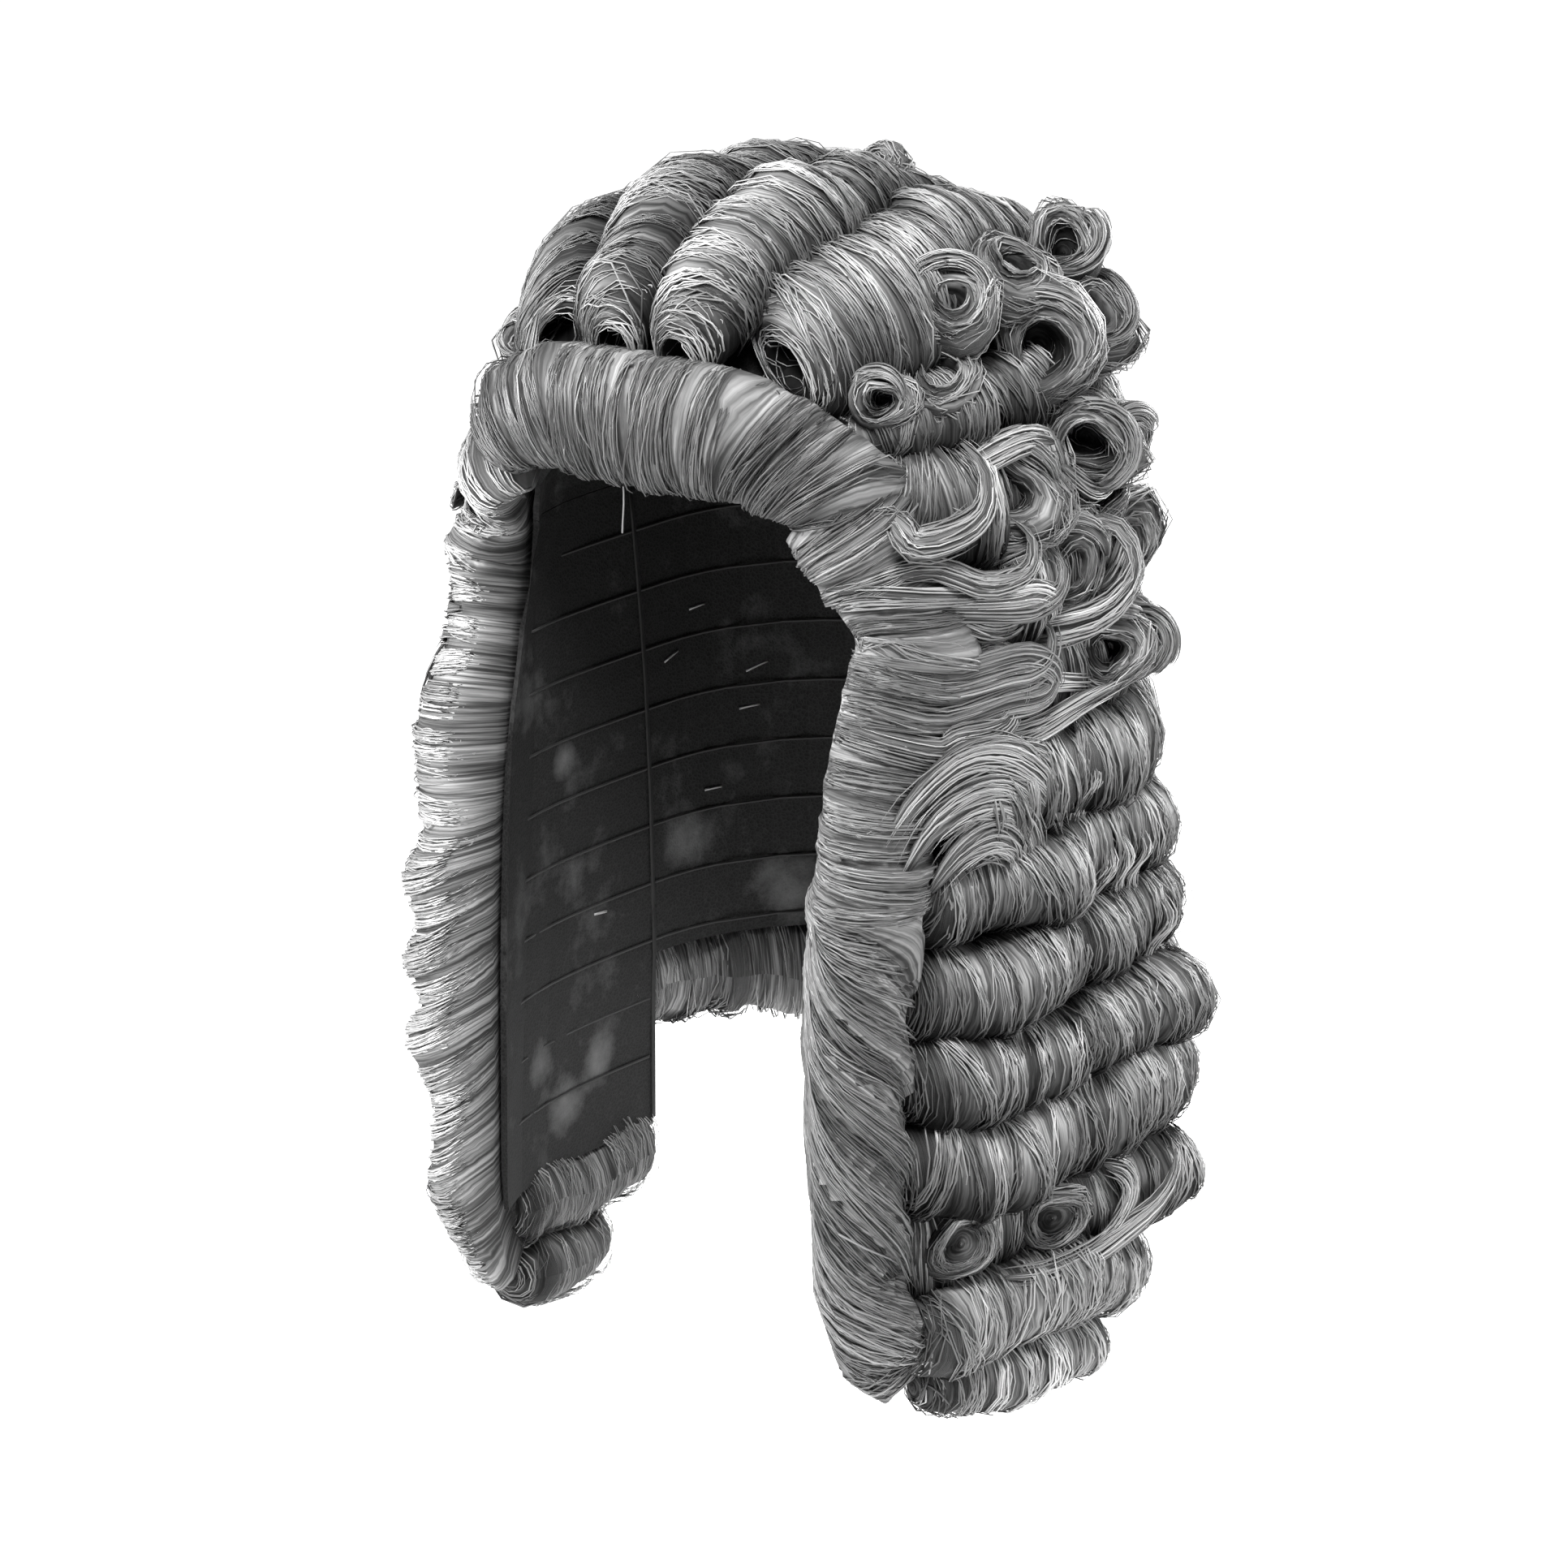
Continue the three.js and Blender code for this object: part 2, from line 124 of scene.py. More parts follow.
def ontoNet(p):
    foot = p.copy()
    for step in range(netForm["footSteps"]):
        slope = netSlope(foot)
        foot += slope * ((1 - netLevel(foot)) / (slope ** 2).sum(-1))[..., None]
    return foot


def girth(y, z):
    power, reach = netReach(y, z)
    return np.maximum(0, 1 - (np.abs(y) / reach) ** power) ** (1 / power)


def sidePoint(y, z):
    share = np.sqrt(np.maximum(0.0004, girth(y, z) ** 2 - netRise(z) ** 2))
    return points(netSize("halfWidth", z) * share, y, z)


def backPoint(x, z):
    share = np.hypot(x / netSize("halfWidth", z), netRise(z))
    power = netForm["backPower"]
    return points(x, netSize("back", z) * np.maximum(0, 1 - share ** power) ** (1 / power), z)


def crownPoint(y, degrees):
    share = girth(y, netForm["widestZ"])
    turn = np.radians(degrees)
    across = netForm["halfWidth"][-1] * share * np.sin(turn)
    return points(across, y, netForm["widestZ"] + netForm["crownRise"] * share * np.cos(turn))


# Feet of the rows: u runs along a row, v across it from its top to its bottom
templeFoot = 64
crownBackY = 42
sideEndY = 45
rowOverlap = 10   # rows of the back run this far round into those of the sides
rowFront = 13   # how far behind the edge of the net a row starts, under the band
backTurn = math.radians(65)
crownInset = 8   # the highest row of the back stops short of the temples


def crownFeet(y0, y1, angle0, angle1):
    return lambda u, v: crownPoint(lerp(y0, y1, u), lerp(angle0, angle1, v))


def sideFeet(start, end, top, bottom, hangs=False):
    def feet(u, v):
        if top is None:
            y = lerp(edgeY(bottom) + rowFront if start is None else start, end, u)
            return sidePoint(y, lerp(crownPoint(y, templeFoot)[..., 2], bottom, v))
        z = lerp(top, bottom, v)
        y = lerp(edgeY(z) + rowFront if start is None else start, end, u)
        foot = sidePoint(np.minimum(y, 0) if hangs else y, z)
        foot[..., 1] = y
        return foot
    return feet


def backFeet(top, bottom):
    def feet(u, v):
        share = np.sin(lerp(-backTurn, backTurn, u)) / math.sin(backTurn)
        if top is None:
            x = share * (float(crownPoint(crownBackY, templeFoot)[0]) - crownInset)
            high = girth(crownBackY, netForm["widestZ"]) ** 2 - (x / netForm["halfWidth"][-1]) ** 2
            high = netForm["widestZ"] + netForm["crownRise"] * np.sqrt(np.maximum(0, high))
            return backPoint(x, lerp(high, bottom, v))
        z = lerp(top, bottom, v)
        return backPoint(share * sidePoint(sideEndY - rowOverlap, z)[..., 0], z)
    return feet


def hangingNormal(foot):
    return netNormal(sidePoint(np.minimum(foot[..., 1], 0), foot[..., 2]))


# Meshes: a turned base under each curl, and strands joined into one mesh from arrays
def turnedBase(profile, steps):
    bm = bmesh.new()
    line = [bm.verts.new((s, 0, rho)) for s, rho in profile]
    for a, b in zip(line, line[1:]):
        bm.edges.new((a, b))
    bmesh.ops.spin(bm, geom=bm.verts[:] + bm.edges[:], cent=(0, 0, 0), axis=(1, 0, 0),
                   angle=fullTurn, steps=steps, use_merge=True, use_duplicate=False)
    bmesh.ops.remove_doubles(bm, verts=bm.verts[:], dist=1e-6)
    bmesh.ops.recalc_face_normals(bm, faces=bm.faces[:])
    mesh = bpy.data.meshes.new("base")
    bm.to_mesh(mesh)
    bm.free()
    flat = np.empty(len(mesh.vertices) * 3)
    mesh.vertices.foreach_get("co", flat)
    flat = flat.reshape(-1, 3)
    turn = np.arctan2(flat[:, 1], flat[:, 2]) % fullTurn
    turn[turn > fullTurn - 1e-4] = 0
    return mesh, flat[:, 0], turn, np.hypot(flat[:, 1], flat[:, 2])


def loopTurns(mesh, turn, rho):  # angle of each face corner, with no jump inside a face
    corners = np.empty(len(mesh.loops), dtype=int)
    mesh.loops.foreach_get("vertex_index", corners)
    sizes = np.empty(len(mesh.polygons), dtype=int)
    mesh.polygons.foreach_get("loop_total", sizes)
    face = np.repeat(np.arange(len(sizes)), sizes)
    angle = turn[corners].copy()
    rim = rho[corners] > 1e-5
    high = np.full(len(sizes), -1.0)
    np.maximum.at(high, face[rim], angle[rim])
    angle[rim & (high[face] > 1.5 * math.pi) & (angle < 0.5 * math.pi)] += fullTurn
    total = np.zeros(len(sizes))
    count = np.zeros(len(sizes))
    np.add.at(total, face[rim], angle[rim])
    np.add.at(count, face[rim], 1)
    angle[~rim] = (total / np.maximum(count, 1))[face[~rim]]
    return corners, angle


def setUv(mesh, name, u, v):
    layer = mesh.uv_layers.new(name=name)
    layer.data.foreach_set("uv", np.stack([u, v], axis=-1).astype(np.float32).ravel())


def setShade(mesh, values):
    shade = mesh.attributes.new("shade", "FLOAT", "POINT")
    shade.data.foreach_set("value", np.asarray(values, dtype=np.float32))


strandLook = {
    "radius": 0.21,      # mm
    "wide": 2.3,         # a wisp of a few hairs is wider than it is thick
    "mapSpread": 0.010,
    "mapStart": 0.76,    # strands keep to the right of the map, bases to the left
    "mapWidth": 0.23,
    "mapBase": 0.72,
    "mapMargin": 0.012,
    "baseMargin": 0.02,
    "flowScale": (40, 4),
    "taper": (0.12, 4),
    "sizes": (0.55, 1.25),   # of the radius, from strand to strand
}


def strandMesh(paths, outward, radii, tone, turnShare):
    count, steps = paths.shape[:2]
    along = unit(np.gradient(paths, axis=1))
    side = unit(np.cross(along, outward))
    raised = np.cross(side, along)
    verts = np.empty((count, steps, 3, 3))
    for corner in range(3):
        a = math.radians(90 + 120 * corner)
        spoke = math.sin(a) * raised + strandLook["wide"] * math.cos(a) * side
        verts[:, :, corner] = paths + radii[..., None] * spoke
    first = np.arange(count)[:, None, None] * steps * 3
    ring = np.arange(steps - 1)[None, :, None] * 3
    j = np.arange(3)[None, None, :]
    k = (j + 1) % 3
    low, high = first + ring, first + ring + 3
    quads = np.stack([low + j, high + j, high + k, low + k], axis=-1)
    start = np.arange(count)[:, None] * steps * 3
    tips = np.concatenate([start + np.array([0, 1, 2]), start + (steps - 1) * 3 + np.array([0, 2, 1])])
    corners = np.concatenate([quads.ravel(), tips.ravel()])
    sizes = np.concatenate([np.full(quads.size // 4, 4), np.full(len(tips), 3)])
    mesh = bpy.data.meshes.new("strands")
    mesh.vertices.add(verts.size // 3)
    mesh.vertices.foreach_set("co", (verts * mm).ravel())
    mesh.loops.add(len(corners))
    mesh.loops.foreach_set("vertex_index", corners.astype(np.int32))
    mesh.polygons.add(len(sizes))
    starts = np.concatenate([[0], np.cumsum(sizes)[:-1]])
    mesh.polygons.foreach_set("loop_start", starts.astype(np.int32))
    mesh.update()
    width = strandLook["mapSpread"] * np.array([0, -1, 1])
    margin = strandLook["mapMargin"]
    toneU = strandLook["mapStart"] + margin + (strandLook["mapWidth"] - 2 * margin) * np.clip(tone, 0, 1)
    u = (toneU[:, None, None] + width + np.zeros((1, steps, 1))).ravel()
    v = np.repeat(turnShare[:, :, None], 3, axis=2).ravel()
    setUv(mesh, "OFBake", u[corners], v[corners])
    flowU, flowV = strandLook["flowScale"]
    setUv(mesh, "hairFlow", u[corners] * flowU, v[corners] * flowV)
    setShade(mesh, np.ones(verts.size // 3))
    return mesh


hairPieces = []


def addObject(name, data):
    obj = bpy.data.objects.new(name, data)
    bpy.context.scene.collection.objects.link(obj)
    return obj


def packBases(meshes):  # each base of a piece gets its own strip of the map
    bases = [mesh for mesh in meshes if mesh.name.startswith("base")]
    for number, mesh in enumerate(bases):
        layer = mesh.uv_layers["OFBake"].data
        uv = np.empty(len(layer) * 2, dtype=np.float32)
        layer.foreach_get("uv", uv)
        margin = strandLook["baseMargin"]
        uv[0::2] = strandLook["mapBase"] * (number + margin + (1 - 2 * margin) * uv[0::2]) / len(bases)
        layer.foreach_set("uv", uv)


def joinPiece(name, meshes, node=None, material="grey hair"):
    packBases(meshes)
    objects = [addObject(name, mesh) for mesh in meshes]
    piece = objects[0]
    with bpy.context.temp_override(active_object=piece, object=piece, selected_objects=objects,
                                   selected_editable_objects=objects):
        bpy.ops.object.join()
    piece.name = name
    piece.data.name = name
    piece.data.polygons.foreach_set("use_smooth", np.ones(len(piece.data.polygons), dtype=bool))
    piece.data.materials.clear()
    piece.data.materials.append(bpy.data.materials[material])
    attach(piece, "root")
    if node:
        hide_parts(node)
    hairPieces.append(piece)


def joinHair(node, meshes):  # takes the place of a node
    joinPiece(node + "_hair", meshes, node)


def faceOut(mesh):
    bm = bmesh.new()
    bm.from_mesh(mesh)
    bmesh.ops.recalc_face_normals(bm, faces=bm.faces[:])
    bm.to_mesh(mesh)
    bm.free()


def dressBase(mesh, place, turn, rho, mapU, mapV, flow, shade):  # mapV and flow are functions of the turn
    mesh.vertices.foreach_set("co", (place * mm).ravel())
    corners, angle = loopTurns(mesh, turn, rho)
    setUv(mesh, "OFBake", mapU[corners], mapV(angle / fullTurn))
    setUv(mesh, "hairFlow", *flow(corners, angle))
    setShade(mesh, shade)
    faceOut(mesh)


# Grey hair: a tone for each strand from the map, with painted shade in the valleys and hollows and a painted
# highlight along each crest, and fine streaks on the bases
hairFinish = {
    "darkest": 0.030,
    "dark": 0.11,
    "middle": 0.28,
    "light": 0.54,
    "lightest": 0.85,
    "roughness": 0.32,
    "gloss": 0.8,
    "baseDuller": 0.36,
    "baseGloss": 0.3,
    "hairSpread": 0.15,
    "strandSpread": 0.085,   # how much the tone differs from strand to strand
    "roughSpread": 0.14,
    "bump": 0.8,
    "strandsFrom": 0.74,   # strands lie past this place on the map
    # painted shade: darker down each side of a row or curl, by its place round it, leaving a narrow painted
    # highlight along the crest
    "valleys": [(0.35, 0.08), (0.42, 0.20), (0.48, 0.41), (0.53, 0.67), (0.565, 1), (0.605, 1), (0.64, 0.65),
                (0.675, 0.36), (0.73, 0.12)],
    "fineStreaks": ((0.95, 0.03, 1), 4),   # how far each noise is stretched, and its detail
    "broadStreaks": ((0.22, 0.02, 1), 2),
    "strandStreaks": ((260, 5, 1), 2),
}


def feed(node, values):  # each input gets a link or a plain value
    for key, value in values.items():
        if isinstance(value, bpy.types.NodeSocket):
            node.id_data.links.new(value, node.inputs[key])
        else:
            node.inputs[key].default_value = value
    return node


def addNode(tree, kind, values, **settings):
    node = tree.nodes.new("ShaderNode" + kind)
    for key, value in settings.items():
        setattr(node, key, value)
    return feed(node, values)


def compute(tree, operation, *values):
    return addNode(tree, "Math", dict(enumerate(values)), operation=operation).outputs[0]


def remap(tree, value, low, high, least, most):
    values = {"Value": value, "From Min": low, "From Max": high, "To Min": least, "To Max": most}
    return addNode(tree, "MapRange", values).outputs["Result"]


def greyRamp(tree, value, stops):
    node = addNode(tree, "ValToRGB", {"Fac": value})
    while len(node.color_ramp.elements) < len(stops):
        node.color_ramp.elements.new(0.5)
    for element, (place, grey) in zip(node.color_ramp.elements, stops):
        element.position = place
        element.color = (grey, grey, grey, 1)
    return node.outputs["Color"]


def streakNoise(tree, flow, stretch, detail):  # noise drawn out along the hair
    place = addNode(tree, "Mapping", {"Vector": flow, "Scale": stretch}).outputs["Vector"]
    return addNode(tree, "TexNoise", {"Vector": place, "Scale": 1, "Detail": detail}).outputs["Fac"]


def newFinish(name):
    material = bpy.data.materials.new(name)
    material.use_nodes = True
    return material, material.node_tree.nodes["Principled BSDF"]


def streakGroup():
    group = bpy.data.node_groups.new("hair streaks", "ShaderNodeTree")
    group.interface.new_socket("Flow", in_out="INPUT", socket_type="NodeSocketVector")
    for name in ("Tone", "Height"):
        group.interface.new_socket(name, in_out="OUTPUT", socket_type="NodeSocketFloat")
    flow = group.nodes.new("NodeGroupInput").outputs["Flow"]
    fine = streakNoise(group, flow, *hairFinish["fineStreaks"])
    broad = streakNoise(group, flow, *hairFinish["broadStreaks"])
    mix = addNode(group, "Mix", {"Factor": 0.4, "A": fine, "B": broad}, data_type="FLOAT").outputs["Result"]
    tone = remap(group, mix, 0.40, 0.62, 0.05, 0.75)
    feed(group.nodes.new("NodeGroupOutput"), {"Tone": tone, "Height": fine})
    return group


def makeHair():
    shader = newFinish("grey hair")[1]
    tree = shader.id_data
    f = hairFinish
    baked, flow = [addNode(tree, "UVMap", {}, uv_map=name).outputs["UV"] for name in ("OFBake", "hairFlow")]
    across, around = addNode(tree, "SeparateXYZ", {"Vector": baked}).outputs[:2]
    streaks = addNode(tree, "Group", {"Flow": flow}, node_tree=streakGroup()).outputs
    isStrand = compute(tree, "GREATER_THAN", across, f["strandsFrom"])
    start = strandLook["mapStart"]
    strandTone = remap(tree, across, start, start + strandLook["mapWidth"], 0, 1)
    hairs = streakNoise(tree, baked, *f["strandStreaks"])
    hairTone = remap(tree, hairs, 0.3, 0.7, -f["hairSpread"], f["hairSpread"])
    tones = {"Factor": isStrand, "A": streaks["Tone"], "B": compute(tree, "ADD", strandTone, hairTone)}
    tone = addNode(tree, "Mix", tones, data_type="FLOAT").outputs["Result"]
    stops = [(0, "darkest"), (0.25, "dark"), (0.5, "middle"), (0.78, "light"), (1, "lightest")]
    greys = greyRamp(tree, tone, [(place, f[grey]) for place, grey in stops])
    shade = addNode(tree, "Attribute", {}, attribute_name="shade").outputs["Fac"]
    paintedShade = compute(tree, "MULTIPLY", greyRamp(tree, around, f["valleys"]), shade)
    layers = {"Factor": 1, "A": greys, "B": paintedShade}
    colour = addNode(tree, "Mix", layers, data_type="RGBA", blend_type="MULTIPLY")
    rough = remap(tree, tone, 0, 1, f["roughness"] + f["roughSpread"], f["roughness"])
    duller = compute(tree, "MULTIPLY_ADD", isStrand, -f["baseDuller"], f["baseDuller"])
    bump = {"Strength": f["bump"], "Distance": f["bump"] * mm, "Height": streaks["Height"]}
    gloss = remap(tree, paintedShade, 0, 0.4, 0.05, f["gloss"])   # no shine where the painted shade darkens, in the valleys and hollows
    shine = remap(tree, isStrand, 0, 1, f["baseGloss"], 1)   # and less on bases than on strands
    feed(shader, {"Base Color": colour.outputs["Result"], "Roughness": compute(tree, "ADD", rough, duller),
                  "Normal": addNode(tree, "Bump", bump).outputs["Normal"],
                  "Specular IOR Level": compute(tree, "MULTIPLY", gloss, shine)})


makeHair()
print("hair finish made")


# Curls and rolls: a turned base with locks in relief, strands wound round it and rings at its ends
def alongTable(table, s):
    return np.interp(s, np.linspace(0, 1, len(table)), table)


def mirrored(p, side):
    p[..., 0] *= side
    return p


lockLook = {
    "margin": 3.0,   # locks run past each end by this, in mm
    "phase": 0.8, "bulge": 2.6, "bulgeShare": 0.6, "gapShade": 0.16, "shortShare": 0.3,
    "tone": (0.5, 0.13),   # middle and spread
    "toneLimits": (0.2, 0.8),
}


def splitLocks(length, narrow, wide):
    edges = [-lockLook["margin"]]
    while edges[-1] < length + lockLook["margin"]:
        edges.append(edges[-1] + dice.uniform(narrow, wide))
    count = len(edges) - 1
    return {
        "edges": np.array(edges),
        "offset": dice.normal(0, 1, count),
        "phase": dice.uniform(-lockLook["phase"], lockLook["phase"], count),
        "lean": dice.normal(0, 1, count),
        "tone": np.clip(dice.normal(*lockLook["tone"], count), *lockLook["toneLimits"]),
    }


def lockAt(locks, q):
    i = np.clip(np.searchsorted(locks["edges"], q) - 1, 0, len(locks["tone"]) - 1)
    low = locks["edges"][i]
    x = np.clip((q - low) / (locks["edges"][i + 1] - low), 0, 1)
    return i, x


def lockBulge(x):
    return 1 - np.abs(2 * x - 1) ** lockLook["bulge"] - lockLook["bulgeShare"]


def gapShade(x):  # painted shade: hair is darker in the gaps between locks
    return lockLook["gapShade"] * np.abs(2 * x - 1) ** 3


def someShorter(start, end, reach):  # some strands cover only a share of the way
    short = dice.random(len(start)) < lockLook["shortShare"]
    first, last = dice.uniform(0, reach, len(start)), dice.uniform(1 - reach, 1, len(start))
    return np.where(short, lerp(start, end, first), start), np.where(short, lerp(start, end, last), end)


def lockRelief(curl, q, turn):
    locks = curl["locks"]
    i, x = lockAt(locks, q)
    sway = locks["offset"][i] * np.cos(1.2 * (turn - math.pi) + locks["phase"][i])
    return curl["relief"] * lockBulge(x) + curl["unevenness"] * sway


def rolledPlace(curl, s, turn, rho):  # along a row: turn is 0 at the foot and half way round at the crest
    swell = alongTable(curl["swell"], s)
    lumps = 1 + curl["lumps"] * np.sin(s * curl["length"] / 12 + curl["seed"])
    depth = alongTable(curl["depth"], s) * lumps
    rho = rho * (1 + curl["uneven"] * np.sin(2 * turn + curl["seed"]) * smooth(0.4, 0, s))
    rise = 0.5 * (1 - rho * swell * np.cos(turn))
    v = 0.5 + 0.5 * curl["fullness"] * swell * rho * np.sin(turn) + curl["droop"] * (rise - 0.4)
    v = v + curl["wander"] * (np.sin(s * curl["length"] / 21 + 2 * curl["seed"]) +
                              0.5 * np.sin(s * curl["length"] / 9 + 3 * curl["seed"]))
    s = s + curl["cutBack"] / curl["length"] * rise * smooth(0.4, 0, s)
    foot = curl["feet"](s, v)
    normal = curl["normal"](foot)
    place = foot + normal * (curl["inner"] + depth * rise)[..., None]
    return mirrored(place, curl["side"]), mirrored(normal, curl["side"])


def barrelPlace(curl, s, turn, rho):  # round a straight axis, which dips towards the net at the back
    swell = alongTable(curl["swell"], s)
    uneven = 1 + 0.14 * np.sin(2 * turn + curl["seed"]) + 0.08 * np.sin(3 * turn + 2.3 * curl["seed"])
    wound = 1 + curl["spiral"] * ((turn + 3.1 * curl["seed"]) / fullTurn % 1 - 0.5)
    radius = curl["radius"] * swell * uneven * wound * rho
    dip = curl["dive"] * np.maximum(0, s - 0.3) ** 2
    layer = np.sin(fullTurn * rho * curl["radius"] / curl["pitch"] + turn)
    layer = curl["layers"] * layer * smooth(0.4, 0.1, s) * smooth(0.25, 0.5, rho)
    back = s * curl["length"] + layer + curl["tilt"] * radius * np.cos(turn + 1.7 * curl["seed"]) * (1 - s)
    middle = curl["face"] - curl["axis"] * back[..., None] - curl["outDir"] * dip[..., None]
    reach = np.sin(turn)[..., None] * curl["downDir"] - np.cos(turn)[..., None] * curl["outDir"]
    place = keepOutside(middle + reach * radius[..., None])
    return mirrored(place, curl["side"]), mirrored(reach, curl["side"])


def keepOutside(p):  # nothing of a curl comes through the net
    foot = ontoNet(p)
    normal = netNormal(foot)
    out = ((p - foot) * normal).sum(-1)
    return p + normal * np.maximum(0, netForm["gap"] - out)[..., None]


def endProfile(depth, hollow, cap):  # from the middle of an end out to its full girth, s in mm
    dish = [(depth * (1 - x ** 3), hollow * x) for x in (0, 0.4, 0.7, 0.88)] if hollow else []
    steps = (0, 0.3, 0.55, 0.75, 0.9, 1)
    rim = [(cap * (1 - math.sqrt(1 - t * t)), hollow + (1 - hollow) * t) for t in steps]
    return dish + rim


def endGirth(curl, along):  # girth of a base at a place along it
    girths = []
    for reach, end in ((along, "front"), (curl["length"] - along, "back")):
        t = np.sqrt(np.clip(1 - np.clip(1 - reach / curl[end + "Cap"], 0, 1) ** 2, 0, 1))
        girths.append(curl[end + "Hollow"] + (1 - curl[end + "Hollow"]) * t)
    return np.minimum(*girths)


curlDefaults = {
    "side": 1, "place": rolledPlace, "normal": netNormal, "inner": 1.2, "fullness": 1.12, "swell": [1, 1],
    "relief": 0.14, "unevenness": 0.08, "lumps": 0.07, "wander": 0.08, "droop": 0.10, "slant": 0.0,
    "lockLean": 0.16, "waves": 1.4, "lockWidth": (4, 12), "segments": 6, "strandLift": 0.036,
    "frontHollow": 0.0, "frontDepth": 0.0, "frontCap": 12.0,
    "backHollow": 0.0, "backDepth": 0.0, "backCap": 12.0,
    "density": 1.6, "from": 0.21, "to": 0.79, "rings": 14, "ringsBack": 10, "step": 3.8, "sides": 18,
    "tone": 0.0, "mapFrom": 0.0, "mapTo": 1.0, "cutBack": 0.0, "uneven": 0.0, "frontFade": 0.0, "innerV": 0.0,
    # painted shade on the bases: shade is the shade under the strands, hollowShade the shade in the hollow
    # ends, fadeShade the shade at a row's front
    "shade": 0.62, "hollowShade": 0.05, "fadeShade": 0.2, "ringLeast": 0.6,
}
woundLook = {   # strands round a curl; spreads are in turns, lifts in shares of the radius; fadeV is where on the painted shade a row's front fades to
    "startSpread": (-0.03, 0.05), "endSpread": (-0.07, 0.04), "short": 0.45, "inset": 0.8,
    "gatherLeast": 0.22, "gather": (0.1, 0.45), "lean": 0.06, "ripple": 0.5, "lift": 0.014,
    "frizzShare": 0.12, "frizzLean": 0.25, "frizzLift": 0.04, "strayShare": 0.08, "stray": (0.03, 0.13),
    "fadeFrom": 2, "fadeV": 0.41,
}
ringLook = {   # strands that wind inwards on the end of a curl; their tone is painted shade, darker by the hollow, and mapV swings round the ring as painted light and shade
    "segments": 7, "sweep": (0.3, 0.8), "inwards": (0.6, 1.3), "least": 0.15, "rollLeast": 0.95, "pitch": 5,
    "ripple": 0.04, "lift": 0.4, "liftSpread": 0.5, "tone": (0.10, 0.5), "mapV": 0.56, "ringShadeSwing": 0.09,
}


def taper(count):
    t = np.linspace(0, 1, count)
    tip, slope = strandLook["taper"]
    return np.clip(tip + slope * t, 0, 1) * np.clip(tip + slope * (1 - t), 0, 1)


def strandRadii(count, steps):
    return strandLook["radius"] * dice.uniform(*strandLook["sizes"], (count, 1)) * taper(steps)


def roundShade(curl, share):  # where a place round a curl lies on the map of painted shade and crest highlight, from its share of a turn
    shown = lerp(curl["mapFrom"], curl["mapTo"], share)
    # the inner side of a curl is moved to a lit place of the painted shade
    if curl["innerV"]:
        shown = lerp(shown, curl["innerV"], smooth(0.28, 0.4, np.abs(share - 0.5)))
    return shown


def woundPaths(curl, count):
    look, length, locks, each = woundLook, curl["length"], curl["locks"], (count, 1)
    q0 = dice.uniform(0, length, count)
    i, x = lockAt(locks, q0)
    middle = 0.5 * (locks["edges"][i] + locks["edges"][i + 1])
    start = fullTurn * (curl["from"] + dice.uniform(*look["startSpread"], count))
    end = fullTurn * (curl["to"] + dice.uniform(*look["endSpread"], count))
    start, end = someShorter(start, end, look["short"])
    t = np.linspace(0, 1, curl["segments"] + 1)
    turn = start[:, None] + (end - start)[:, None] * t
    frizz = dice.random(each) < look["frizzShare"]
    swing = turn - math.pi
    share = (turn / fullTurn - curl["from"]) / (curl["to"] - curl["from"])
    gather = look["gatherLeast"] + dice.uniform(*look["gather"], each) * np.abs(2 * share - 1) ** 1.5
    q = q0[:, None] + gather * (middle - q0)[:, None]
    lean = curl["slant"] + curl["lockLean"] * locks["lean"][i][:, None] + dice.normal(0, look["lean"], each)
    lean = lean + frizz * dice.normal(0, look["frizzLean"], each)
    wave = curl["waves"] * np.sin(1.5 * swing + 5 * locks["phase"][i][:, None])
    wave = wave + dice.normal(0, look["ripple"], each) * np.sin(3 * t + dice.uniform(0, 6, each))
    inset = look["inset"] / length
    s = np.clip((q - lean * curl["radius"] * swing + wave) / length, inset, 1 - inset)
    lift = np.abs(dice.normal(0, look["lift"], each)) + curl["strandLift"]
    lift = lift + frizz * dice.uniform(0, look["frizzLift"], each)
    stray = (dice.random(each) < look["strayShare"]) * dice.uniform(*look["stray"], each)
    rho = endGirth(curl, s * length) + lockRelief(curl, q, turn) + lift + stray * np.sin(math.pi * t) ** 2
    place, normal = curl["place"](curl, s, turn, rho)
    tone = locks["tone"][i] + dice.normal(0, hairFinish["strandSpread"], count) + curl["tone"] - gapShade(x)
    shareV = roundShade(curl, turn / fullTurn)
    # painted shade at a row's front, where it tucks under the band
    if curl["frontFade"]:
        shareV = lerp(look["fadeV"], shareV, smooth(look["fadeFrom"], curl["frontFade"], s * length))
    return place, normal, tone, shareV


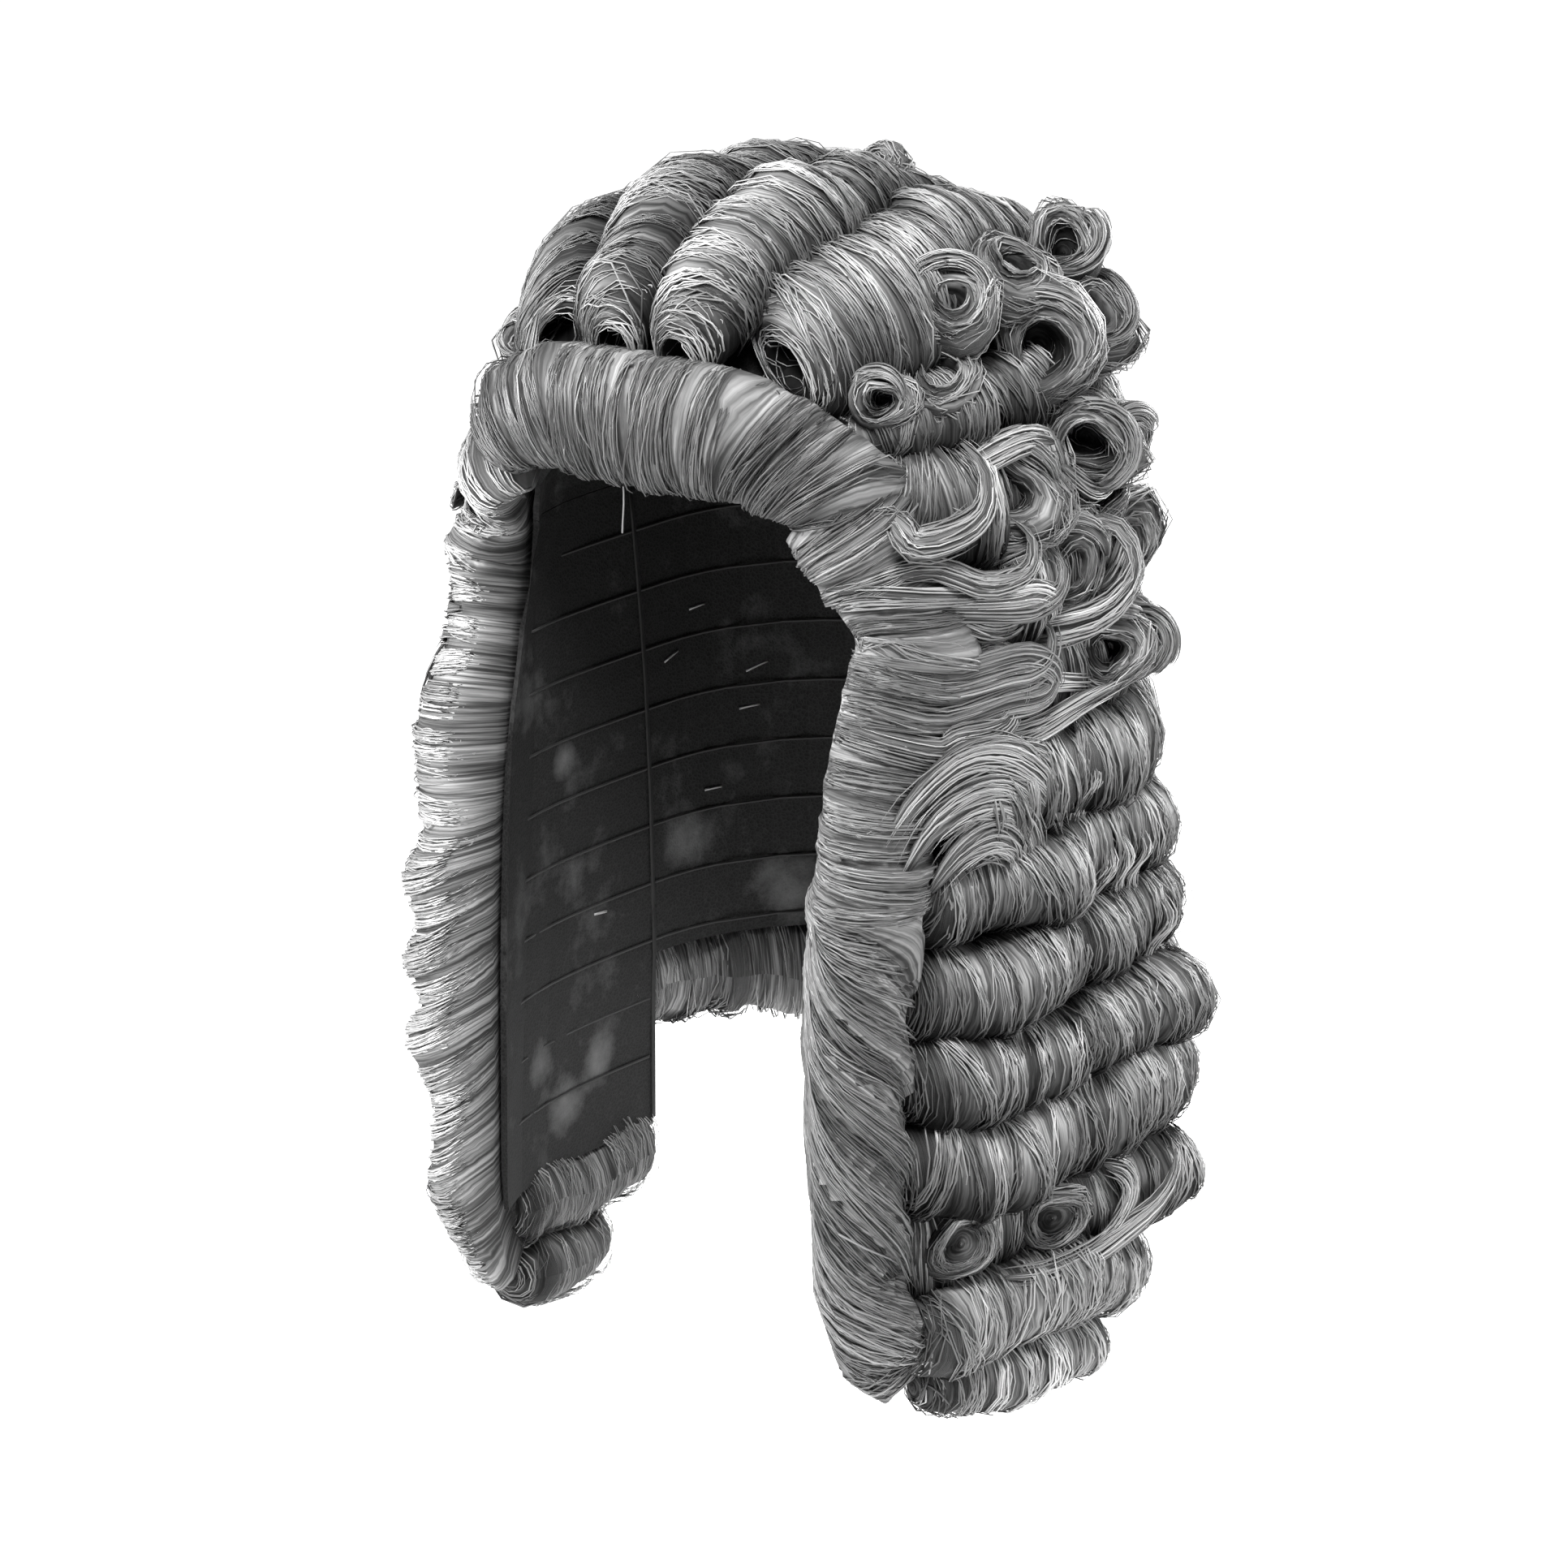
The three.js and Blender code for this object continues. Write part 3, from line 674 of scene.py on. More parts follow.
def ringPaths(curl, count, end):
    look, length, hollow, each = ringLook, curl["length"], curl[end + "Hollow"], (count, 1)
    profile = endProfile(curl[end + "Depth"], hollow, curl[end + "Cap"])
    least = look["rollLeast"] if curl["place"] is rolledPlace else curl["ringLeast"]
    least = max(least * hollow, look["least"])
    rho0 = np.sqrt(dice.uniform(least ** 2, 1, count))
    sweep = dice.uniform(*look["sweep"], each) * np.linspace(0, 1, look["segments"] + 1)
    turn = dice.uniform(0, fullTurn, each) + fullTurn * sweep
    inwards = dice.uniform(*look["inwards"], each) * curl.get("pitch", look["pitch"]) / curl["radius"]
    rho = np.maximum(rho0[:, None] - inwards * sweep, 0.8 * least)
    rho = rho + look["ripple"] * np.sin(2 * turn + dice.uniform(0, 6, each))
    along = np.interp(rho, [p[1] for p in profile], [p[0] for p in profile])
    along = along - look["lift"] - np.abs(dice.normal(0, look["liftSpread"], each))
    s = along / length if end == "front" else 1 - along / length
    place, core = [curl["place"](curl, s, turn % fullTurn, rho * share)[0] for share in (1, 0.9)]
    # painted shade: strands are darker towards the hollow in the middle of a ring
    inside = smooth(0.6 * hollow, min(1, 1.3 * hollow + 0.15), rho0)
    tone = lerp(*look["tone"], inside) + dice.normal(0, hairFinish["strandSpread"], count) + curl["tone"]
    # painted light and shade that changes round the ring
    return place, unit(place - core), tone, look["mapV"] + look["ringShadeSwing"] * np.cos(turn - 3.6)


def curlMeshes(curl):
    curl = {**curlDefaults, **curl}
    curl["seed"] = dice.uniform(0, 6)
    if curl["place"] is rolledPlace:
        u = np.linspace(0, 1, 30)
        middle = curl["feet"](u, np.full(30, 0.5))
        crest = middle + curl["normal"](middle) * (0.7 * alongTable(curl["depth"], u))[:, None]
        curl["length"] = pathLength(crest)
        curl["radius"] = float(np.mean(curl["depth"])) / 2
    curl["locks"] = splitLocks(curl["length"], *curl["lockWidth"])
    length = curl["length"]
    for end in ("front", "back"):
        curl[end + "Cap"] = min(curl[end + "Cap"], 0.4 * length)
    front = endProfile(curl["frontDepth"], curl["frontHollow"], curl["frontCap"])
    back = endProfile(curl["backDepth"], curl["backHollow"], curl["backCap"])
    back = [(length - s, rho) for s, rho in reversed(back)]
    span = back[0][0] - front[-1][0]
    steps = max(2, round(span / curl["step"]))
    profile = front + [(front[-1][0] + span * i / steps, 1) for i in range(1, steps)] + back
    mesh, along, turn, rho = turnedBase(profile, curl["sides"])
    crestShare = 0.35 + 0.65 * np.sin(turn / 2) ** 2
    q = along + curl["slant"] * curl["radius"] * (turn - math.pi)
    relief = lockRelief(curl, q, turn) * crestShare * smooth(0.5, 0.98, rho)
    place = curl["place"](curl, along / length, turn, rho + relief)[0]
    reach = np.hypot(*np.diff(np.array([(s, r * curl["radius"]) for s, r in profile]), axis=0).T)
    run = np.concatenate([[0], np.cumsum(reach)]) / sum(reach)
    order = {(round(s, 4), round(r, 4)): share for (s, r), share in zip(profile, run)}
    share = np.array([order.get((round(s, 4), round(r, 4)), 0.5) for s, r in zip(along, rho)])
    flowAcross = np.where(rho < 0.999, rho * curl["radius"] + 300, along) + curl["seed"] * 50
    # painted shade: a base is darker than its strands, darker still in the hollow at each end and at a row's
    # front
    hollow = np.where(along > length / 2, curl["backHollow"], curl["frontHollow"])
    fade = smooth(woundLook["fadeFrom"], curl["frontFade"], along) if curl["frontFade"] else 1
    rim = smooth(0.7, 1.3, rho / np.maximum(hollow, 0.01))
    shade = np.where(hollow > 0, lerp(curl["hollowShade"], curl["shade"], rim), curl["shade"])
    dressBase(mesh, place, turn, rho, share, lambda part: roundShade(curl, part),
              lambda corners, angle: (flowAcross[corners], angle * curl["radius"]),
              lerp(curl["fadeShade"], 1, fade) * shade)
    meshes = [mesh]
    batches = [woundPaths(curl, round(curl["density"] * length))]
    for key, end in (("rings", "front"), ("ringsBack", "back")):
        if curl[key]:
            batches.append(ringPaths(curl, curl[key], end))
    for place, normal, tone, v in batches:
        meshes.append(strandMesh(place, normal, strandRadii(*place.shape[:2]), tone, v))
    return meshes


barrelLook = {
    "place": barrelPlace, "dive": 18, "spiral": 0.20, "tilt": 0.3, "layers": 1.5, "pitch": 5.5,
    "swell": [0.95, 1.04, 1, 0.9, 0.75], "frontHollow": 0.42, "backCap": 4, "rings": 30, "ringsBack": 0,
    # mapFrom and mapTo set where the painted crest highlight falls round a curl
    "lockWidth": (3, 8), "from": 0.1, "to": 0.9, "segments": 8, "mapFrom": 0.42, "mapTo": 0.72, "waves": 1.2,
    "lockLean": 0.22, "relief": 0.12,
}


def barrel(face, radius, **look):  # a short curl whose ring shows at face, on the left side of the wig
    face = np.array(face, dtype=float)
    outward = netNormal(ontoNet(face[None]))[0]
    forward = np.array([0, -1.0, 0])
    axis = unit(look["turnOut"] * outward + (1 - look["turnOut"]) * forward + np.array([0, 0, look["lift"]]))
    outDir = unit(outward - np.dot(outward, axis) * axis)
    downDir = np.cross(axis, outDir)
    downDir = downDir * (1 if downDir[2] < 0 else -1)
    return {**barrelLook, "face": face, "axis": axis, "outDir": outDir, "downDir": downDir, "radius": radius,
            "length": 1.4 * radius, "frontDepth": 0.6 * radius, "frontCap": 0.45 * radius, **look}


def partFeet(feet, first, last, shift):  # a stretch of a row, moved across it
    return lambda u, v: feet(lerp(first, last, u), v + shift)


def rowParts(row, cuts):  # a row as a few rolls that overlap, each a little out of line
    parts = []
    for first, last in cuts:
        opens, closes = first == 0, last == 1
        depth = alongTable(row["depth"], np.linspace(first, last, 5)) * dice.uniform(0.95, 1.05)
        feet = partFeet(row["feet"], first, last, dice.uniform(-0.08, 0.08))
        parts.append({**row, "feet": feet, "depth": depth,
                      "slant": row.get("slant", 0) + dice.uniform(-0.12, 0.12),
                      "frontCap": 16 if opens else 24, "rings": 16 if opens else 0,
                      "frontFade": row.get("frontFade", 0) if opens else 0,
                      "backCap": 12 if closes else 24, "ringsBack": 14 if closes else 0})
    return parts


# Loose locks: a flat bundle of strands along a smooth path through a few points, in mm
def tableCurve(table, share):
    rows = np.array(table, dtype=float)
    at = np.clip(share, 0, 1) * (len(rows) - 1)
    i = np.clip(np.floor(at).astype(int), 0, len(rows) - 2)
    t = (at - i)[..., None]
    a, b = rows[np.maximum(i - 1, 0)], rows[i]
    c, d = rows[i + 1], rows[np.minimum(i + 2, len(rows) - 1)]
    return b + 0.5 * t * (c - a + t * (2 * a - 5 * b + 4 * c - d + t * (3 * (b - c) + d - a)))


lockDefaults = {
    "tone": -0.02, "segments": 8, "ends": 0.5, "peak": 0.12, "facing": None, "steps": 14, "sides": 8,
    # painted shade and highlight: the base of a lock is painted lighter and darker round it by mapV, and its
    # outer strands are painted lighter than its inner ones
    "shade": 0.45, "mapV": (0.48, 0.68),
    "begin": (0, 0.42), "finish": (0.6, 1),   # where along a lock its strands start and stop
}


def lockMeshes(path, **given):
    look = {**lockDefaults, **given}
    grid = np.linspace(0, 1, 25)
    line = tableCurve(path, grid)
    along = unit(np.gradient(line, axis=0))
    outward = netNormal(ontoNet(line))
    if look["facing"] is not None:
        outward = np.broadcast_to(look["facing"], line.shape)
    across = unit(np.cross(along, outward))
    outward = np.cross(across, along)
    length = pathLength(line)

    def at(s, a, b):  # a across and b outward, each as a share of the bundle
        full = look["ends"] + (1 - look["ends"]) * np.sin(math.pi * np.clip(s, 0, 1)) ** 0.7
        place, sideways, out = [np.stack([np.interp(s, grid, field[:, k]) for k in range(3)], axis=-1)
                                for field in (line, across, outward)]
        place = place + sideways * (a * full * look["width"] / 2)[..., None]
        return mirrored(place + out * (b * full * look["thick"] / 2)[..., None], look["side"]), out

    steps = look["steps"]
    profile = [(0, 0)] + [(i / steps, 1) for i in range(steps + 1)] + [(1, 0)]
    mesh, s, turn, rho = turnedBase(profile, look["sides"])
    slim = rho * np.sqrt(np.sin(math.pi * lerp(0.02, 0.98, s)))
    place = at(lerp(0.05, 0.95, s), 0.85 * slim * np.sin(turn), -0.6 * slim * np.cos(turn))[0]
    shade = np.full(len(s), look["shade"])
    dressBase(mesh, place, turn, rho, s, lambda share: lerp(*look["mapV"], share),
              lambda corners, angle: (angle * look["width"] / 2, s[corners] * length), shade)
    count = look["strands"]
    each = (count, 1)
    t = np.linspace(0, 1, look["segments"] + 1)
    along = lerp(dice.uniform(*look["begin"], each), dice.uniform(*look["finish"], each), t)
    a = dice.uniform(-1, 1, each) + dice.normal(0, 0.12, each) * np.sin(5 * t + dice.uniform(0, 6, each))
    b = np.sqrt(np.maximum(0.05, 1 - np.clip(np.abs(a), 0, 1) ** 2)) * 0.9 + np.abs(dice.normal(0, 0.1, each))
    place, normal = at(along, a, b)
    tone = 0.5 + look["tone"] + dice.normal(0, 1.6 * hairFinish["strandSpread"], count)
    # painted shade: strands deep in a lock are darker, those on its outer side lighter
    strands = strandMesh(place, mirrored(normal.copy(), look["side"]), strandRadii(count, len(t)), tone,
                         0.46 + look["peak"] * np.clip(b, 0, 1))
    return [mesh, strands]


def overNet(path):  # points given as y, z and how far out from the net
    y, z, out = np.array(path, dtype=float).T
    foot = sidePoint(np.minimum(y, 0), z)
    normal = hangingNormal(foot)
    foot[:, 1] = y
    return foot + normal * out[:, None]


def bridgeLock(row, u, slide):  # a lock that leaves one row's crest and lies over the next
    v = np.array([0.30, 0.62, 0.92, 1.18, 1.45])
    foot = row["feet"](u + slide * np.array([0, 0.1, 0.4, 0.8, 1.0]), v)
    depth = float(alongTable(row["depth"], u))
    reach = depth * np.array([0.86, 1.0, 0.80, 0.78, 0.94])
    path = foot + row.get("normal", netNormal)(foot) * reach[:, None]
    return lockMeshes(path, side=row["side"], width=dice.uniform(8, 15), thick=3, strands=15, tone=0)


def ringLock(curl, side):  # a lock that winds round a ring and trails off beside it
    radius, axis = curl["radius"], curl["axis"]
    first = unit(np.cross(axis, [0, 0, 1.0]))
    second = np.cross(first, axis)
    hand = dice.choice([-1, 1])
    t = np.linspace(0, 1, 7)[:, None]
    turn = dice.uniform(0, fullTurn) + hand * dice.uniform(2.2, 3.5) * t
    reach = np.cos(turn) * first + np.sin(turn) * second
    path = curl["face"] + axis * (1.6 * np.sin(math.pi * t) - 1.0 - t) + reach * radius * lerp(0.74, 1.0, t)
    tail = hand * (np.cos(turn[-1]) * second - np.sin(turn[-1]) * first)
    path = np.concatenate([path, [path[-1] + 5 * tail - 8 * axis, path[-1] + 7 * tail - 18 * axis]])
    return lockMeshes(keepOutside(path), side=side, width=radius * dice.uniform(0.38, 0.56), thick=6,
                      strands=18, segments=11, facing=axis, peak=0.07, tone=-0.06)


def waveLock(row, side):  # a wavy lock that lies along a row
    t = np.linspace(0, 1, 7)
    first = dice.uniform(0.0, 0.45)
    u = lerp(first, first + dice.uniform(0.4, 0.6), t)
    v = 0.5 + 0.24 * np.sin(fullTurn * (dice.uniform(0.35, 0.6) * t + dice.random()))
    foot = row["feet"](u, v)
    rise = 0.5 + 0.5 * np.sqrt(np.maximum(0.1, 1 - ((v - 0.5) / 0.56) ** 2))
    path = foot + netNormal(foot) * (1.5 + alongTable(row["depth"], u) * rise)[:, None]
    return lockMeshes(path, side=side, width=dice.uniform(8, 13), thick=5, strands=17)


# Crown: four rolls from front to back, which fan out towards the forehead
crownFan = 0.42
# mapFrom moves the painted crest highlight onto the top of each roll
crownLook = {"droop": 0, "fullness": 1.16, "frontHollow": 0.42, "frontDepth": 20, "frontCap": 9, "rings": 44,
             "swell": [0.95, 1, 1, 1, 0.95], "density": 1.9, "wander": 0.06, "lumps": 0.06, "cutBack": 14,
             "uneven": 0.10, "segments": 7, "mapFrom": 0.06}
crownRolls = [
    {"node": "crown_roll_1", "angles": (-36.5, -17.5), "front": -96, "depth": [27, 34, 35, 33, 31, 28]},
    {"node": "crown_roll_2", "angles": (-17.5, 0), "front": -103, "depth": [27, 35, 35, 31, 26, 20]},
    {"node": "crown_roll_3", "angles": (0, 17.5), "front": -103, "depth": [27, 35, 35, 31, 26, 20]},
    {"node": "crown_roll_4", "angles": (17.5, 36.5), "front": -94, "depth": [27, 34, 35, 33, 31, 28]},
]


def fannedFeet(roll):
    angle0, angle1 = roll["angles"]

    def feet(u, v):
        spread = 1 + crownFan * (1 - smooth(0, 0.75, u))
        return crownPoint(lerp(roll["front"], crownBackY, u), lerp(angle0, angle1, v) * spread)
    return feet


for roll in crownRolls:
    meshes = curlMeshes({**crownLook, "feet": fannedFeet(roll), "depth": roll["depth"],
                         "slant": dice.uniform(-0.1, 0.1)})
    end = fannedFeet(roll)(np.array([0.0, 0.14]), np.array([0.5, 0.5]))
    end = end + netNormal(end) * np.array([[roll["depth"][0] / 2 - 2], [roll["depth"][0] / 2]])
    meshes += ringLock({"face": end[0], "axis": unit(end[0] - end[1]), "radius": 0.4 * roll["depth"][0]}, 1)
    joinHair(roll["node"], meshes)
print("crown rolls made")

# Temples and ears: low rows under short curls whose rings face outwards and forwards, ring centres in mm
templeCurls = {
    "temple_curl_1": [((84, -44, 0), 18)],
    "temple_curl_2": [((84, -7, 6), 18), ((80, 26, 5), 16)],
    "temple_curl_3": [((91, -60, -24), 16), ((84, -86, -32), 12)],
    "temple_curl_4": [((99, -12, -27), 21), ((95, 28, -17), 17)],
    "side_roll_1": [((106, -42, -69), 20)],
    "side_roll_2": [((108, 4, -60), 17), ((104, 34, -68), 15)],
    "side_roll_3": [],
    "side_roll_4": [((109, -5, -103), 20), ((108, 32, -104), 15)],
    "side_roll_5": [((110, -56, -143), 15), ((114, 8, -138), 17), ((111, 36, -142), 14)],
}
templeRows = {
    "temple_curl_1": {"feet": crownFeet(-84, -26, 36.5, 49.5), "depth": [16, 30, 30]},
    "temple_curl_2": {"feet": crownFeet(-30, crownBackY, 36.5, 49.5), "depth": [30, 30, 28]},
    "temple_curl_3": {"feet": crownFeet(-86, -34, 49.5, 64), "depth": [16, 30, 28]},
    "temple_curl_4": {"feet": crownFeet(-38, crownBackY, 49.5, 64), "depth": [28, 26, 24]},
    "side_roll_1": {"feet": sideFeet(-84, -32, None, -92), "depth": [20, 28, 24]},
    "side_roll_2": {"feet": sideFeet(-36, sideEndY, None, -92), "depth": [24, 22, 21]},
    "side_roll_3": {"feet": sideFeet(-84, -6, -92, -125), "depth": [22, 28, 25]},
    "side_roll_4": {"feet": sideFeet(-10, sideEndY, -92, -125), "depth": [24, 22, 21]},
    "side_roll_5": {"feet": sideFeet(-86, sideEndY, -125, -160), "depth": [24, 28, 26, 23]},
}
templeLook = {"density": 1.0, "rings": 0, "ringsBack": 0, "tone": -0.04, "sides": 16, "step": 4,
              "swell": [0.7, 1, 1, 0.9]}
templeLocks = {   # loose locks between the forehead and the ear, each through a few points in mm
    "temple_curl_3": [
        {"path": [(46, -104, -40), (62, -97, -47), (78, -84, -56), (93, -68, -66)], "width": 13},
        {"path": [(40, -108, -48), (58, -103, -56), (74, -93, -66), (88, -78, -74)], "width": 12},
        {"path": [(66, -92, -36), (80, -80, -46), (92, -66, -56), (98, -50, -60)], "width": 11},
    ],
    "side_roll_1": [
        {"path": [(88, -72, -68), (100, -54, -58), (107, -32, -52), (106, -10, -58)], "width": 12},
        {"path": [(84, -80, -78), (98, -62, -80), (106, -42, -88), (110, -22, -86)], "width": 12},
    ],
    "side_roll_3": [
        {"path": [(84, -82, -96), (98, -62, -98), (106, -40, -94), (110, -20, -90)], "width": 13},
        {"path": [(86, -82, -110), (100, -60, -116), (110, -34, -122), (122, -6, -120), (125, 12, -106),
                  (117, 10, -90), (108, -2, -88)], "width": 14},
        {"path": [(86, -82, -122), (100, -64, -120), (108, -44, -124), (112, -26, -132)], "width": 12},
    ],
    "side_roll_5": [
        {"path": [(92, -78, -152), (104, -62, -158), (114, -38, -158), (118, -10, -152), (119, 18, -150)],
         "width": 12},
        {"path": [(90, -82, -134), (100, -70, -130), (110, -54, -124), (114, -40, -136), (112, -38, -150)],
         "width": 9},
    ],
}
for side, sideName in bothSides:
    for base, curls in templeCurls.items():
        kind, number = base.rsplit("_", 1)
        slant = dice.uniform(-0.3, 0.3)
        meshes = curlMeshes({**templeRows[base], **templeLook, "side": side, "slant": slant})
        for face, radius in curls:
            placed = np.array(face) + dice.normal(0, 1.2, 3)
            curl = barrel(placed, radius * dice.uniform(0.94, 1.06), side=side,
                          turnOut=dice.uniform(0.42, 0.78), lift=dice.uniform(-0.2, 0.35),
                          frontHollow=dice.uniform(0.34, 0.5))
            meshes += curlMeshes(curl) + ringLock(curl, side)
        for lock in templeLocks.get(base, []):
            meshes += lockMeshes(lock["path"], side=side, width=lock["width"], thick=6, strands=26)
        for i in range(0 if kind == "temple_curl" else 1 if curls else 3):
            meshes += waveLock(templeRows[base], side)
        joinHair(f"{kind}_{sideName}_{number}", meshes)
print("temple curls made")

# Lappets: waved rows down to the tip, each of a few rolls, with locks that bridge the valleys
hemDepth = 7
lappetRows = [
    {"top": -160, "bottom": -197, "depth": [30, 36, 36, 35, 33], "slant": 0.35, "bridges": 2},
    {"top": -197, "bottom": -230, "depth": [28, 36, 37, 36, 35], "bridges": 3},
    {"top": -230, "bottom": -262, "depth": [28, 37, 38, 38, 38], "bridges": 3},
    {"top": -262, "bottom": -294, "depth": [28, 38, 39, 41, 46], "bridges": 3},
    {"top": -294, "bottom": -330, "depth": [28, 37, 38, 39, 44], "wrap": True},
    {"top": -330, "bottom": -362, "depth": [14, 15, 17, 32, 43], "rightDepth": [14, 15, 15, 16, 34],
     "end": 50, "rightEnd": 14},
    {"top": -360, "bottom": -391, "depth": [24, 31, 31, 33], "start": -88, "end": 34, "rightEnd": 10,
     "hem": True},
    {"top": -391, "bottom": -416, "depth": [20, 26, 27], "start": -78, "end": 12, "rightEnd": -18,
     "hem": True},
]
rowCuts = {"long": [(0, 0.6), (0.46, 1)], "short": [(0, 1)], "back": [(0, 0.40), (0.30, 0.70), (0.60, 1)]}
# the hem keeps to the lighter middle of the painted shade all the way round, its inside too
hemLook = {"inner": -hemDepth, "from": 0.0, "to": 1.0, "density": 1.25, "mapFrom": 0.53, "mapTo": 0.655,
           "droop": 0, "segments": 9, "strandLift": 0.055}
swirlLook = {"width": 19, "thick": 4, "strands": 34, "segments": 10, "tone": -0.1}
# painted shade: a row darkens over its first frontFade mm, where it tucks under the band
lappetLook = {"density": 1.46, "frontFade": 30, "swell": [0.9, 1, 1, 1, 0.96]}
hangsBelow = -330   # lower rows hang free of the back net
wrapLook = {"from": 0.0, "to": 1.0, "segments": 9, "innerV": 0.57}   # its inner side shows too, and is set to a lit place of the painted shade rather than painted dark
swirl = [   # y, z and how far out, in mm
    [(-100, -186, 33), (-92, -170, 35), (-76, -159, 35), (-56, -162, 36), (-36, -178, 36), (-20, -202, 31)],
    [(-96, -198, 34), (-87, -181, 36), (-72, -173, 37), (-56, -178, 37), (-43, -193, 36), (-34, -212, 30)],
    [(-86, -208, 30), (-78, -193, 36), (-65, -189, 37), (-53, -197, 36), (-48, -212, 30)],
]


def lappetRow(row, side):
    start = row.get("start")
    end = row.get("rightEnd" if side < 0 else "end", row.get("end", sideEndY + 8))
    depth = row.get("rightDepth" if side < 0 else "depth", row["depth"])
    hangs = row["top"] <= hangsBelow
    look = {**lappetLook, "feet": sideFeet(start, end, row["top"], row["bottom"], hangs), "depth": depth,
            "side": side, "slant": row.get("slant", 0.0), "normal": hangingNormal if hangs else netNormal}
    if row.get("hem"):
        look.update({**hemLook, "depth": [d + hemDepth for d in depth]})
    return look


for side, sideName in bothSides:
    for number, row in enumerate(lappetRows, 1):
        look = lappetRow(row, side)
        meshes = []
        parts = rowParts(look, rowCuts["short" if row.get("hem") else "long"])
        if row.get("wrap"):
            parts[-1].update(wrapLook)
        for part in parts:
            meshes += curlMeshes(part)
        for i in range(row.get("bridges", 0)):
            meshes += bridgeLock(look, dice.uniform(0.3, 0.92), dice.uniform(-0.1, 0.1))
        if number == 1:
            for path in swirl:
                meshes += lockMeshes(overNet(path), side=side, **swirlLook)
        joinHair(f"lappet_roll_{sideName}_{number}", meshes)
print("lappet rows made")

# Back: rows from the crown to the hem
backRows = [   # top, bottom and depth
    (None, -58, 26), (-58, -92, 22), (-92, -125, 22), (-125, -160, 24), (-160, -197, 27), (-197, -230, 29),
    (-230, -262, 31), (-262, -293, 32), (-294.5, -330, 32),
]
skyCurl = {"face": (2, 16, 25), "radius": 13}   # shows over the crown
for number, (top, bottom, depth) in enumerate(backRows, 1):
    look = {"feet": backFeet(top, bottom), "depth": [depth] * 2, "side": 1, "density": 1.08}
    hem = number == len(backRows)
    if hem:
        look.update({**hemLook, "depth": [depth + hemDepth] * 2})
    meshes = []
    for part in rowParts(look, rowCuts["back"]):
        meshes += curlMeshes(part)
    for i in range(0 if hem else 2):
        meshes += bridgeLock(look, dice.uniform(0.08, 0.92), dice.uniform(-0.08, 0.08))
    if number == 1:
        meshes += curlMeshes(barrel(skyCurl["face"], skyCurl["radius"], side=1, turnOut=0.45, lift=0.0))
    joinHair(f"back_roll_{number}", meshes)
print("back rows made")


# Brushed hair along the front edge: a section swept along the edge of the net
sectionFrom, sectionSpan = 0.16, 0.68   # the shares of a turn where the section starts and that it takes


def sectionPart(share):
    return (share - sectionFrom) / sectionSpan


def sweepPlace(sweep, w, share, rho, lift):  # w along the edge, share round the section from its foot
    edge = sweep["edge"](w)
    along = unit(sweep["edge"](w + 0.004) - sweep["edge"](w - 0.004))
    inward = unit(np.cross(netNormal(edge), along))
    inward *= np.where(inward[..., 1:2] < 0, -1, 1)
    over = sectionPart(share)
    corner = tableCurve(sweep["section"], over)
    first, last = np.array(sweep["section"][0]), np.array(sweep["section"][-1])
    closing = np.where(share > 0.5, share - (1 - sectionFrom), share + sectionFrom)
    under = (closing / (2 * sectionFrom))[..., None]
    corner = np.where(((over < 0) | (over > 1))[..., None], last + (first - last) * under, corner)
    corner = np.array(sweep["heart"]) + (corner - np.array(sweep["heart"])) * rho[..., None]
    width, height = sweep["size"](w)
    foot = ontoNet(edge + inward * (corner[..., 0] * width)[..., None])
    normal = netNormal(foot)
    place = foot + normal * (np.maximum(corner[..., 1] * height, 0.9) + lift)[..., None]
    return mirrored(place, sweep["side"]), mirrored(normal, sweep["side"])


sweepDefaults = {
    "side": 1, "lockWidth": (4, 12), "sides": 26, "step": 3.2, "segments": 10, "lockLean": 2.6, "waves": 1.6,
    # painted shade and highlight round the section: darker towards its edges and lightest on one stretch
    "shadeShare": [0, 0.16, 0.26, 0.42, 0.56, 0.70, 0.84, 1],
    "shadeV": [0.38, 0.45, 0.54, 0.575, 0.54, 0.48, 0.41, 0.37],
}
brushLook = {   # strands of brushed hair; spreads are in shares of a turn, lifts in mm
    "startSpread": (-0.03, 0.04), "endSpread": (-0.3, 0.03), "short": 0.5, "gatherLeast": 0.2,
    "gather": (0.1, 0.4), "ripple": 0.9, "crossShare": 0.2, "cross": 7, "drift": 0.12,
    "begin": (0, 0.02), "finish": (0.96, 1), "lift": 0.7, "liftSpread": 0.35,
    "strayShare": 0.14, "strayLeast": 0.4, "tone": (0.2, 0.6), "mapV": (0.53, 0.63),
    # the base of brushed hair is darker than its strands, as painted shade, and follows the painted shade of
    # the section
    "flowRound": 14, "shade": 0.62, "shadeV": [0.36, 0.55], "shadeRange": [0.1, 1],
}


def sweepRelief(sweep, w, share):
    locks, along = sweep["locks"], w * sweep["length"]
    i, x = lockAt(locks, along)
    sway = locks["offset"][i] * np.sin(3 * share + locks["phase"][i] * 4)
    swells = sweep["swells"] * np.sin(along / 7.5 + 2 * np.sin(along / 31))
    edges = smooth(0.14, 0.3, share) * smooth(0.9, 0.75, share)
    return (sweep["relief"] * lockBulge(x) + sweep["unevenness"] * sway + swells) * edges


